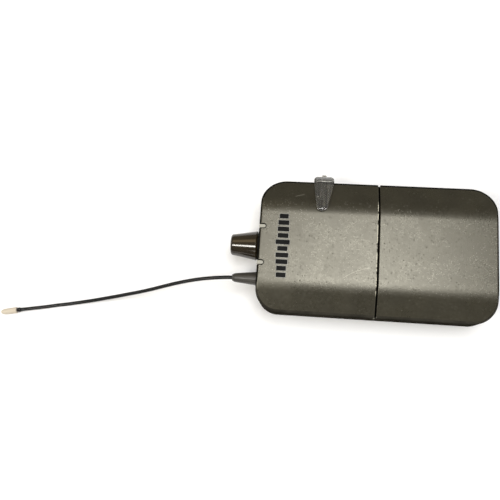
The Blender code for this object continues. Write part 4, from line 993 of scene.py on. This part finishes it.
def make_front_cover():
    far = END_X + 2 * MM
    cover = contoured("cover_skin", 0.0, 0.0, BACK_Z, EDGE_FILLET, (-far, SEAM_LOW), SEAM_EDGE)
    keep(cover, upper_half(PARTING_HALF_GAP))
    radio = contoured("radio", WALL, -WALL, BACK_Z, 0.0, (-far, BULKHEAD_X[0]))
    battery = contoured("battery", WALL, -WALL, BACK_Z, 0.0, (BULKHEAD_X[1], far))
    cut(cover, radio, battery, *end_wall_holes())
    pockets = []
    for y, width in LIGHT_PIPES.values():
        half = width / 2 + PIPE_SLIT
        pockets.append(pipe_outline("slot", y, half, LIGHT_PIPE_END_X + PIPE_SLIT, far,
                                    FRONT_Z - LIGHT_PIPE_DEPTH - GAP, FRONT_Z + MM))
    cut(cover, *pockets)
    for bar in badge_bars(BADGE_SLIT):
        cut(cover, bar)
    lip = contoured("lip", WALL + LIP_GAP, -WALL - LIP_GAP, BACK_Z, 0.0,
                    (SEAM_LOW - LIP_REACH, SEAM_HIGH + LIP_REACH))
    under = contoured("under", WALL + LIP_GAP + LIP_THICK, -WALL - LIP_GAP - LIP_THICK, BACK_Z, 0.0,
                      (SEAM_LOW - 2 * LIP_REACH, SEAM_HIGH + 2 * LIP_REACH))
    ridge = contoured("ridge", RIDGE_INSET, -RIDGE_INSET, BACK_Z, 0.0,
                      (SEAM_LOW - RIDGE_GAP / 4, SEAM_HIGH - RIDGE_GAP))
    join(lip, ridge)
    cut(lip, under)
    keep(lip, block("lip_low", (-END_X, END_X), (-SIDE_Y, SIDE_Y), (PARTING_Z + GAP, FRONT_Z)))
    finish_surface(cover, CASING)
    paint_casing(cover)
    # painted highlight along the cover's rounded edge at the seam
    paint(cover, SEAM_HIGHLIGHT, lambda p, n: p.x > SEAM_LOW - 1.2 * SEAM_EDGE and n.x > 0.2 and n.z > 0.25)
    pipes = [(y, width / 2 + PIPE_SLIT + MM / 20) for y, width in LIGHT_PIPES.values()]
    # painted shade: near-black walls of the light-pipe slots
    paint(cover, SEAM_SHADE, lambda p, n: p.z > FRONT_Z - LIGHT_PIPE_DEPTH - MM
          and p.x < LIGHT_PIPE_END_X + MM and n.z < 0.9
          and any(abs(p.y - y) < half and abs(n.y) + n.x * n.x > 0.05 for y, half in pipes)
          and not near_wall_face(p, n))
    # the lip under the seam is near-black painted shade
    finish_surface(lip, SEAM_SHADE)
    lip.name = "seam_lip"
    place(cover, "casing", "casing", "front_cover")
    place(lip, "casing", "dark_plastic")


def pipe_outline(name, y, half, inner_x, outer_x, low, high):
    """A light pipe's plan: a strip from the end wall with a round inner end."""
    centre = inner_x - half
    outline = [(-outer_x, y - half), (-outer_x, y + half)]
    outline += [(centre + half * cos(a), y + half * sin(a))
                for a in (pi / 2 - pi * k / PIPE_STEPS for k in range(PIPE_STEPS + 1))]
    return extrude_outline(name, outline, low, high)


def make_battery_door():
    far = END_X + 2 * MM
    door = contoured("door_skin", 0.0, 0.0, BACK_Z, EDGE_FILLET, (SEAM_HIGH, far), SEAM_EDGE)
    keep(door, upper_half(PARTING_HALF_GAP))
    cut(door, contoured("battery", WALL, -WALL, BACK_Z, 0.0, (BULKHEAD_X[1], far)))
    y = (-BARREL_HALF_LENGTH, BARREL_HALF_LENGTH)
    skin = (HINGE_X + APRON_DEPTH, HINGE_X + BARREL_RADIUS)
    join(door, block("apron", skin, y, (HINGE_Z, PARTING_Z + 2 * MM)))
    join(door, rod("barrel", "Y", *y, (HINGE_X, HINGE_Z), BARREL_RADIUS))
    cut(door, rod("pin_hole", "Y", y[0] - MM, y[1] + MM, (HINGE_X, HINGE_Z),
                  HINGE_PIN_RADIUS + GAP))
    join(door, block("rib", DOOR_RIB_X, span(DOOR_RIB_Y, DOOR_RIB_HALF), DOOR_RIB_Z))
    finish_surface(door, CASING)
    paint_casing(door)
    place(door, "door", "casing", "battery_door")


def make_rear_shell():
    shell = contoured("back_skin", 0.0, 0.0, BACK_Z, 0.0, back_edge=BACK_EDGE_RADIUS)
    cut(shell, upper_half(-PARTING_HALF_GAP))
    hollow = contoured("hollow", WALL, 2 * FLANK_DROP, BACK_Z, 0.0, back_edge=BACK_EDGE_RADIUS - WALL)
    cut(hollow, block("hollow_floor", (-END_X, END_X), (-SIDE_Y, SIDE_Y), (0.0, BACK_Z + WALL)))
    cut(shell, hollow)
    floor = BACK_Z + WALL / 2
    additions = []
    for side in (-1, 1):
        inner, outer = sorted((side * (BARREL_HALF_LENGTH + GAP), side * LUG_OUTER_Y))
        additions.append(block("lug", (HINGE_X - BARREL_RADIUS, HINGE_X + LUG_REACH), (inner, outer),
                               (floor, HINGE_Z + BARREL_RADIUS)))
        low, high = sorted(side * y for y in CLIP_LUG_Y)
        additions.append(block("clip_lug", span(CLIP_PIVOT_X, CLIP_EYE_RADIUS),
                               (low, high), (CLIP_PIVOT_Z, floor)))
        additions.append(rod("clip_eye", "Y", low + MM / 20, high - MM / 20,
                             (CLIP_PIVOT_X, CLIP_PIVOT_Z), CLIP_EYE_RADIUS - MM / 20))
    for piece in additions:
        join(shell, piece)
    notch_y = (-BARREL_HALF_LENGTH - GAP, BARREL_HALF_LENGTH + GAP)
    notch = BARREL_RADIUS + NOTCH_GAP
    cut(shell, rod("notch_round", "Y", *notch_y, (HINGE_X, HINGE_Z), notch))
    cut(shell, block("notch", (HINGE_X, END_X + MM), notch_y, (HINGE_Z - notch, FRONT_Z)))
    cut(shell, rod("pin_hole", "Y", *span(0.0, LUG_OUTER_Y - PIN_HOLE_INSET),
                   (HINGE_X, HINGE_Z), HINGE_PIN_RADIUS + GAP))
    cut(shell, rod("clip_pin_hole", "Y", -CLIP_LUG_Y[1] - MM, CLIP_LUG_Y[1] + MM,
                   (CLIP_PIVOT_X, CLIP_PIVOT_Z), CLIP_PIN_RADIUS + GAP))
    cut(shell, *end_wall_holes())
    for x, y in SCREWS:
        cut(shell, rod("screw_hole", "Z", BACK_Z - MM, PARTING_Z, (x, y), SCREW_HOLE_RADIUS))
        cut(shell, rod("screw_sink", "Z", BACK_Z - MM, BACK_Z + SCREW_SINK, (x, y),
                       SCREW_HEAD_RADIUS + GAP))
    for side in (-1, 1):
        wall = sorted((side * (SIDE_Y - WALL - MM), side * (SIDE_Y + MM)))
        cut(shell, block("latch_slot", (LATCH_X[0] - GAP, LATCH_X[1] + GAP), wall,
                         (LATCH_Z[0] - GAP, LATCH_Z[1] + GAP)))
    label = rounded_rectangle((LABEL_X[0] - LABEL_RECESS, -LABEL_HALF_WIDTH - LABEL_RECESS),
                              (LABEL_X[1] + LABEL_RECESS, LABEL_HALF_WIDTH + LABEL_RECESS),
                              1.2 * MM, 6)
    cut(shell, extrude_outline("label_recess", label, BACK_Z - MM, BACK_Z + 0.6 * MM))
    for x in GRIP_GROOVES_X:
        cut(shell, block("groove", span(x, 0.4 * MM), mm(-9, 9),
                         (BACK_Z - MM, BACK_Z + GRIP_GROOVE_DEPTH)))
    finish_surface(shell, CASING)
    paint_casing(shell)
    place(shell, "casing", "casing", "rear_shell")


# ---- Badge and light pipes ----------------------------------------------------------------------
def badge_bars(grow, low=None, high=None):
    """Bars of a level meter, each with round corners."""
    low = FRONT_Z - BADGE_DEPTH - GAP if low is None else low
    high = FRONT_Z + MM if high is None else high
    step = (BADGE_Y[1] - BADGE_Y[0]) / BADGE_BARS
    bars = []
    for k in range(BADGE_BARS):
        middle = BADGE_Y[0] + (k + 0.5) * step
        swing = abs(sin(pi * (k + 0.5) / BADGE_BARS)) * abs(cos(BADGE_SWING * k))
        reach = BADGE_MIN_HALF_HEIGHT + swing * (BADGE_MAX_HALF_HEIGHT - BADGE_MIN_HALF_HEIGHT)
        half = BADGE_BAR_WIDTH / 2 + grow
        outline = rounded_rectangle((BADGE_X - reach - grow, middle - half),
                                    (BADGE_X + reach + grow, middle + half), BADGE_CORNER + grow, 5)
        bars.append(extrude_outline("bar", outline, low, high))
    return bars


def make_badge_and_lights():
    bars = badge_bars(0.0, FRONT_Z - BADGE_DEPTH, FRONT_Z + BADGE_PROUD)
    badge = merge_meshes(bars[0], *bars[1:])
    badge.name = "badge_bars"
    finish_surface(badge, INLAY, soften=0.12 * MM)
    place(badge, "casing", "gloss_black", "name_badge")
    frames = badge_bars(BADGE_SLIT, FRONT_Z - BADGE_DEPTH, FRONT_Z + 0.01 * MM)
    for outline, inner in zip(frames, badge_bars(BADGE_LINE_GAP)):
        cut(outline, inner)
    outlines = merge_meshes(frames[0], *frames[1:])
    outlines.name = "badge_outlines"
    finish_surface(outlines, OUTLINE)
    place(outlines, "casing", "grey_plastic")
    for name, (y, width) in LIGHT_PIPES.items():
        half = width / 2 - PIPE_TRIM / 2
        pipe = pipe_outline(f"{name}_window", y, half, LIGHT_PIPE_END_X, END_X - 0.1 * MM,
                            FRONT_Z - LIGHT_PIPE_DEPTH, FRONT_Z - 0.05 * MM)
        finish_surface(pipe, MILKY, soften=0.08 * MM, segments=3)
        place(pipe, "casing", "light_pipe", f"{name}_light_pipe")


# ---- Knob and antenna ---------------------------------------------------------------------------
def make_knob():
    bore = SHAFT_RADIUS + GAP
    corners = [
        (0.0, KNOB_LENGTH, 0.0), (KNOB_TIP_RADIUS - 0.1 * MM, KNOB_LENGTH, 1.1 * MM),
        (KNOB_TIP_RADIUS + 0.2 * MM, KNOB_LENGTH - 2.2 * MM, 0.8 * MM),
        (KNOB_BASE_RADIUS, 0.75 * MM, 0.06 * MM), (KNOB_SKIRT_RADIUS + 0.2 * MM, 0.0, 0.05 * MM),
        (KNOB_SKIRT_RADIUS, 0.0, 0.0), (KNOB_SKIRT_RADIUS, KNOB_SKIRT_DEPTH, 0.0),
        (bore, KNOB_SKIRT_DEPTH, 0.0), (bore, KNOB_BORE_DEPTH, 0.0), (0.0, KNOB_BORE_DEPTH, 0.0),
    ]
    knob = turned("knob_body", corners, KNOB, (KNOB_FACE_X, 0.0, PARTING_Z),
                  (-1, 0, 0))
    place(knob, "volume", "gloss_black", "volume_knob")


def make_boot():
    base = -END_X - GAP
    neck = WALL + 2 * GAP
    corners = [
        (0.0, BOOT_LENGTH, 0.0), (BOOT_TIP_RADIUS - 0.55 * MM, BOOT_LENGTH, 0.35 * MM),
        (BOOT_TIP_RADIUS + 0.1 * MM, BOOT_LENGTH - 1.2 * MM, 0.7 * MM),
        (BOOT_BASE_RADIUS, 0.2 * MM, 0.2 * MM), (BOOT_BASE_RADIUS - 0.1 * MM, 0.0, 0.1 * MM),
        (BOOT_NECK_RADIUS, 0.0, 0.0), (BOOT_NECK_RADIUS, -neck, 0.0),
        (BOOT_NECK_RADIUS + 0.9 * MM, -neck, 0.0), (BOOT_NECK_RADIUS + 0.9 * MM, -neck - MM, 0.0),
        (0.0, -neck - MM, 0.0),
    ]
    boot = turned("boot_body", corners, RUBBER, (base, ANTENNA_Y, PARTING_Z),
                  (-1, 0, 0))
    place(boot, "casing", "boot_rubber", "antenna_boot")


def make_whip():
    line = smooth_line(WHIP_ROUTE, 4)
    whip = wire("whip_sleeve", line, WHIP_DIAMETER / 2, SLEEVE, "whip", "antenna_whip")
    onward = (line[-1] - line[-2]).normalized()
    onward.z = 0.0
    onward.normalize()
    start = line[-1] + onward * GAP
    r = COLLAR_RADIUS
    collar = turned("whip_ferrule", [
        (0.0, COLLAR_LENGTH, 0.0), (r - 0.1 * MM, COLLAR_LENGTH, 0.1 * MM), (r, 0.3 * MM, 0.1 * MM),
        (r - 0.3 * MM, 0.0, 0.05 * MM), (0.0, 0.0, 0.0),
    ], GLOSS, start, onward, 48)
    r, length = TIP_CAP_RADIUS, TIP_CAP_LENGTH
    cap = turned("whip_cap", [
        (0.0, length, 0.0), (0.62 * r, length, 0.45 * MM), (0.9 * r, length - 1.6 * MM, 0.6 * MM),
        (r, 0.3 * MM, 0.3 * MM), (0.9 * r, 0.0, 0.1 * MM), (0.0, 0.0, 0.0),
    ], CREAM, start + onward * (COLLAR_LENGTH + GAP), onward, 64)
    for piece, node, slot in ((collar, "antenna_collar", "gloss_black"),
                              (cap, "antenna_tip_cap", "cream_cap")):
        place(piece, "casing", slot, node)
    length = sum((b - a).length for a, b in zip(line, line[1:]))


# ---- Clear clip ---------------------------------------------------------------------------------
def smooth_outline(points, rounding, steps=5):
    """Round the corners of a closed outline."""
    vectors = [Vector(p) for p in points]
    count = len(vectors)
    result = []
    for k in range(count):
        here = vectors[k]
        before = vectors[k - 1] - here
        after = vectors[(k + 1) % count] - here
        reach = min(rounding, 0.45 * before.length, 0.45 * after.length)
        start = here + before.normalized() * reach
        end = here + after.normalized() * reach
        for j in range(steps + 1):
            t = j / steps
            result.append(tuple(start * (1 - t) ** 2 + here * 2 * t * (1 - t) + end * t**2))
    return result


def make_clear_clip():
    thick, tip, bulge = CLEAR_THICKNESS, CLEAR_TIP_Y, CLEAR_BULGE_Y
    lift = 1.2 * GAP
    along = [tip + (CLEAR_SIDE_Y - tip) * k / CLEAR_STEPS for k in range(CLEAR_STEPS + 1)]
    inner = [(y, front_height(y) + lift) for y in along] + CLEAR_INNER
    shoulder = [y for y in along[1:] if y < SIDE_Y - MM]
    outer = CLEAR_OUTER + [(y, front_height(y) + lift + thick) for y in reversed(shoulder)]
    outer.append((tip, front_height(tip) + lift + 0.7 * thick))
    x, half = CLEAR_X, CLEAR_HALF_WIDTH
    section = smooth_outline(inner + outer, CLEAR_ROUNDING)
    clip = extrude_outline("cable_guide", section, *span(x, half), "X")
    narrow = CLEAR_TIP_HALF_WIDTH
    tongue = [(CLEAR_TIP_X + narrow * cos(pi * k / 24),
               tip + narrow - narrow * sin(pi * k / 24)) for k in range(25)]
    corner = CLEAR_CORNER
    arch = []
    for sign, start in ((-1, 0.0), (1, pi / 2)):
        for k in range(9):
            a = start - sign * pi / 16 * k
            arch.append((x + sign * (half - corner + corner * cos(a)),
                         bulge - corner + corner * sin(a)))
    plan = tongue + [(x - half, SIDE_Y - 1 * MM)] + arch + [(x + half, SIDE_Y - 1 * MM)]
    keep(clip, extrude_outline("plan", plan[::-1], 0.0, FRONT_Z + 5 * MM))
    nub = rounded_rectangle((x - CLEAR_NUB_HALF, bulge - 1 * MM),
                            (x + CLEAR_NUB_HALF, CLEAR_NUB_Y), 0.5 * MM, 5)
    join(clip, extrude_outline("nub", nub, *CLEAR_NUB_Z))
    finish_surface(clip, CLEAR, soften=0.3 * MM, segments=4)
    # painted light: lighter tip of the clip
    paint(clip, CLEAR_TIP_LIGHT, lambda p, n: p.y < tip + CLEAR_TIP_REACH)
    # painted shade: dark outline on the clip's side faces and the bulge's end
    paint(clip, CLEAR_EDGE_SHADE, lambda p, n: p.y > tip + CLEAR_TIP_REACH and abs(n.x) > 0.4
          or p.y > bulge - CLEAR_EDGE_BAND)
    x, y = CLEAR_GATE
    # the gate mark takes the lighter painted-light copy
    gate = turned("gate_mark", [(r * MM, h * MM, 0.0) for r, h in GATE_PROFILE], CLEAR_TIP_LIGHT,
                  (x, y, front_height(y) + lift + thick), (0, 0, 1), 24)
    merge_meshes(clip, gate)
    place(clip, "casing", "clear", "clear_cable_clip")


# ---- Belt clip, screws, latches and label -------------------------------------------------------
def make_belt_clip():
    neck = CLIP_PIVOT_X + CLIP_NECK
    body = rounded_rectangle((neck, -CLIP_HALF_WIDTH), (CLIP_END_X, CLIP_HALF_WIDTH), CLIP_CORNER, 8)
    thumb = [(neck, CLIP_THUMB_HALF), (CLIP_THUMB_X, CLIP_THUMB_HALF),
             (CLIP_THUMB_X, -CLIP_THUMB_HALF), (neck, -CLIP_THUMB_HALF)]
    half = len(body) // 2
    outline = smooth_outline(body[:half] + thumb + body[half:], CLIP_ROUNDING)
    clip = extrude_outline("belt_clip_plate", outline, 0.0, CLIP_PLATE)
    eye = (CLIP_PIVOT_X, CLIP_PIVOT_Z)
    for side in (-1, 1):
        low, high = sorted(side * y for y in CLIP_EAR_Y)
        join(clip, block("ear", span(CLIP_PIVOT_X, CLIP_EYE_RADIUS),
                         (low, high), (CLIP_PLATE / 2, CLIP_PIVOT_Z)))
        join(clip, rod("ear_eye", "Y", low + MM / 20, high - MM / 20, eye, CLIP_EYE_RADIUS - MM / 20))
        grooves = [rounded_rectangle((CLIP_GROOVE_X[0], side * y - CLIP_GROOVE_HALF),
                                     (CLIP_GROOVE_X[1], side * y + CLIP_GROOVE_HALF),
                                     CLIP_GROOVE_HALF, 6) for y in CLIP_GROOVE_Y]
        for groove in grooves:
            cut(clip, extrude_outline("groove", groove, -MM, CLIP_GROOVE_DEPTH))
    join(clip, block("lip", CLIP_LIP_X, (-CLIP_LIP_HALF, CLIP_LIP_HALF),
                     (CLIP_PLATE / 2, BACK_Z - CLIP_LIP_GAP)))
    cut(clip, rod("ear_hole", "Y", -CLIP_EAR_Y[1] - MM, CLIP_EAR_Y[1] + MM, eye, CLIP_PIN_RADIUS + GAP))
    finish_surface(clip, STEEL, soften=0.2 * MM, segments=3)
    place(clip, "clip", "steel", "belt_clip")

    pin = turned("clip_hinge_pin", [
        (0.0, CLIP_EAR_Y[1], 0.0), (CLIP_PIN_RADIUS, CLIP_EAR_Y[1], 0.2 * MM),
        (CLIP_PIN_RADIUS, -CLIP_EAR_Y[1], 0.2 * MM), (0.0, -CLIP_EAR_Y[1], 0.0),
    ], STEEL, (CLIP_PIVOT_X, 0.0, CLIP_PIVOT_Z), (0, 1, 0), 32)
    place(pin, "casing", "steel", "clip_pin")

    steps, half = CLIP_COIL_TURNS * COIL_STEPS, CLIP_COIL_HALF
    reach, leg_z = CLIP_PIVOT_X + CLIP_COIL_LEG, BACK_Z - CLIP_LIP_GAP
    points = [(reach, -half, leg_z)]
    for k in range(steps + 1):
        angle = pi / 2 - 2 * pi * k / COIL_STEPS
        points.append((CLIP_PIVOT_X + CLIP_COIL_RADIUS * cos(angle), -half + 2 * half * k / steps,
                       CLIP_PIVOT_Z + CLIP_COIL_RADIUS * sin(angle)))
    points.append((reach, half, leg_z))
    wire("clip_spring_wire", points, SPRING_WIRE_RADIUS, STEEL, "steel", "clip_spring")


def make_screws():
    for k, (x, y) in enumerate(SCREWS):
        low, head = SCREW_HEAD_Z
        corners = [
            (0.0, SCREW_TOP_Z, 0.0), (SCREW_RADIUS, SCREW_TOP_Z, 0.3 * MM), (SCREW_RADIUS, head, 0.0),
            (SCREW_HEAD_RADIUS, head, 0.05 * MM), (SCREW_HEAD_RADIUS, low, 0.4 * MM), (0.0, low, 0.0),
        ]
        screw = turned(f"screw_{k + 1}_body", corners, STEEL, (x, y, 0.0), (0, 0, 1), 48)
        wide, thin = SCREW_CROSS
        depth = (BACK_Z, low + 0.8 * MM)
        cut(screw, block("cross_a", span(x, wide), span(y, thin), depth))
        cut(screw, block("cross_b", span(x, thin), span(y, wide), depth))
        finish_surface(screw, STEEL)
        place(screw, "casing", "steel", f"case_screw_{k + 1}")


def make_latches():
    for side, name in ((-1, "a"), (1, "b")):
        face = SIDE_Y - LATCH_SUNK
        pad = sorted((side * (SIDE_Y - LATCH_DEPTH), side * face))
        outline = rounded_rectangle((LATCH_X[0], LATCH_Z[0]), (LATCH_X[1], LATCH_Z[1]), 0.6 * MM, 6)
        button = extrude_outline(f"latch_pad_{name}", outline, *pad, "Y")
        for k in range(LATCH_GROOVES):
            x = LATCH_X[0] + (LATCH_X[1] - LATCH_X[0]) * (k + 1) / (LATCH_GROOVES + 1)
            deep = sorted((side * (face - LATCH_GROOVE_DEPTH), side * (face + MM)))
            cut(button, block("groove", span(x, LATCH_GROOVE_HALF), deep,
                              (LATCH_Z[0] - MM, LATCH_Z[1] + MM)))
        flange = sorted((side * (SIDE_Y - LATCH_DEPTH), side * (SIDE_Y - WALL - GAP)))
        join(button, block("flange", (LATCH_X[0] - MM, LATCH_X[1] + MM), flange,
                           (LATCH_Z[0] - 0.8 * MM, LATCH_Z[1] + 0.8 * MM)))
        # the -Y latch takes the painted-shade side material
        finish_surface(button, SIDE_SHADE if side < 0 else CASING, soften=0.1 * MM)
        place(button, f"latch_{name}", "casing", f"latch_button_{name}")


def make_label():
    sheet = rounded_rectangle((LABEL_X[0], -LABEL_HALF_WIDTH), (LABEL_X[1], LABEL_HALF_WIDTH), MM, 8)
    label = extrude_outline("label_sheet", sheet, BACK_Z, BACK_Z + 0.3 * MM)
    for low, high in LABEL_FIELDS:
        field = rounded_rectangle((LABEL_X[0] + 1.5 * MM, low), (LABEL_X[1] - 1.5 * MM, high), 0.5 * MM, 4)
        cut(label, extrude_outline("field", field, BACK_Z - MM, BACK_Z + 0.06 * MM))
    finish_surface(label, LABEL)
    paint(label, GREY, lambda p, n: p.z > BACK_Z + 0.05 * MM and n.z < -0.9)
    place(label, "casing", "label", "rear_label")


# ---- Battery bay and controls -------------------------------------------------------------------
def make_battery_bay():
    tray = block("tray_body", TRAY_X, TRAY_Y, TRAY_Z)
    keep(tray, extrude_outline("tray_limit", case_outline(WALL + GAP), BACK_Z, FRONT_Z))
    for y in CELL_Y:
        cut(tray, rod("trough", "X", *BAY_X, (y, CELL_Z), CELL_RADIUS + GAP, 96))
    cut(tray, block("tray_top", BAY_X, (-SIDE_Y, SIDE_Y), (BACK_Z + TRAY_RIB, FRONT_Z)))
    finish_surface(tray, DARK)
    place(tray, "casing", "dark_plastic", "battery_tray")

    cells = ((1, CELL_Y[0], BAY_X[1] - CELL_END_GAP, 1), (2, CELL_Y[1], BAY_X[0] + CELL_END_GAP, -1))
    for number, y, positive, facing in cells:
        base = positive - facing * (CELL_BODY + CELL_NUB)
        corners = [
            (0.0, CELL_BODY + CELL_NUB, 0.0), (CELL_NUB_RADIUS, CELL_BODY + CELL_NUB, 0.4 * MM),
            (CELL_NUB_RADIUS, CELL_BODY - 0.1 * MM, 0.1 * MM), (CELL_RADIUS - MM, CELL_BODY, 0.1 * MM),
            (CELL_RADIUS, CELL_BODY, 0.6 * MM), (CELL_RADIUS, CELL_BODY - CELL_BAND, 0.0),
            (CELL_RADIUS, 0.0, 0.6 * MM), (0.0, 0.0, 0.0),
        ]
        cell = turned(f"cell_{number}_sleeve", corners, CELL, (base, y, CELL_Z),
                      (facing, 0, 0), 72)
        finish_surface(cell, CELL)
        paint(cell, BRASS, lambda p, n: facing * (p.x - base) > CELL_BODY - CELL_BAND and abs(n.x) < 0.5)
        paint(cell, STEEL, lambda p, n: abs(n.x) > 0.8 or facing * (p.x - base) > CELL_BODY)
        place(cell, "casing", "cell", f"battery_cell_{number}")

    steps = CONTACT_TURNS * COIL_STEPS
    for name, (y, base, tip) in CONTACT_COILS.items():
        points = []
        for k in range(steps + 1):
            t = k / steps
            radius = (4.4 - 2.0 * t) * MM
            angle = 2 * pi * CONTACT_TURNS * t
            points.append((base + (tip - base) * t, y + radius * cos(angle),
                           CELL_Z + radius * sin(angle)))
        wire(name + "_wire", points, SPRING_WIRE_RADIUS, STEEL, "steel", name)


def make_controls():
    deck = extrude_outline("deck_plate", rounded_rectangle(
        (DECK_X[0], DECK_Y[0]), (DECK_X[1], DECK_Y[1]), 1.2 * MM, 6), *DECK_Z)
    for x in DECK_LEG_X:
        for y in DECK_LEG_Y:
            join(deck, block("leg", span(x, DECK_LEG_HALF), span(y, DECK_LEG_HALF),
                             (ON_BOARD, DECK_Z[0] + MM / 2)))
    through = (DECK_Z[0] - MM, DECK_Z[1] + MM)
    openings = [((WINDOW_X[0], WINDOW_Y[0]), (WINDOW_X[1], WINDOW_Y[1]), 1.0 * MM),
                ((INFRARED_X - 1.5 * MM, INFRARED_Y - 2.5 * MM),
                 (INFRARED_X + 1.5 * MM, INFRARED_Y + 2.5 * MM), 0.5 * MM)]
    hole = KEY_HALF + GAP
    openings += [((KEY_X - hole, y - hole), (KEY_X + hole, y + hole), 0.9 * MM) for y in KEYS.values()]
    for low, high, corner in openings:
        cut(deck, extrude_outline("opening", rounded_rectangle(low, high, corner, 6), *through))
    finish_surface(deck, DARK, soften=0.15 * MM)
    place(deck, "casing", "dark_plastic", "control_deck")

    for name, y in KEYS.items():
        cap = rounded_rectangle((KEY_X - KEY_HALF, y - KEY_HALF), (KEY_X + KEY_HALF, y + KEY_HALF),
                                0.8 * MM, 6)
        key = extrude_outline(f"{name}_key_cap", cap, *KEY_Z)
        reach = KEY_HALF + KEY_FLANGE
        join(key, block("flange", span(KEY_X, reach), span(y, reach),
                        KEY_FLANGE_Z))
        finish_surface(key, GREY, soften=0.25 * MM, segments=3)
        place(key, f"{name}_key", "grey_plastic", f"{name}_button")


make_camera()
make_studio()
finish_cad_nodes()
make_whip()
make_front_cover()
make_battery_door()
make_rear_shell()
make_badge_and_lights()
make_knob()
make_boot()
make_clear_clip()
make_belt_clip()
make_screws()
make_latches()
make_label()
make_battery_bay()
make_controls()
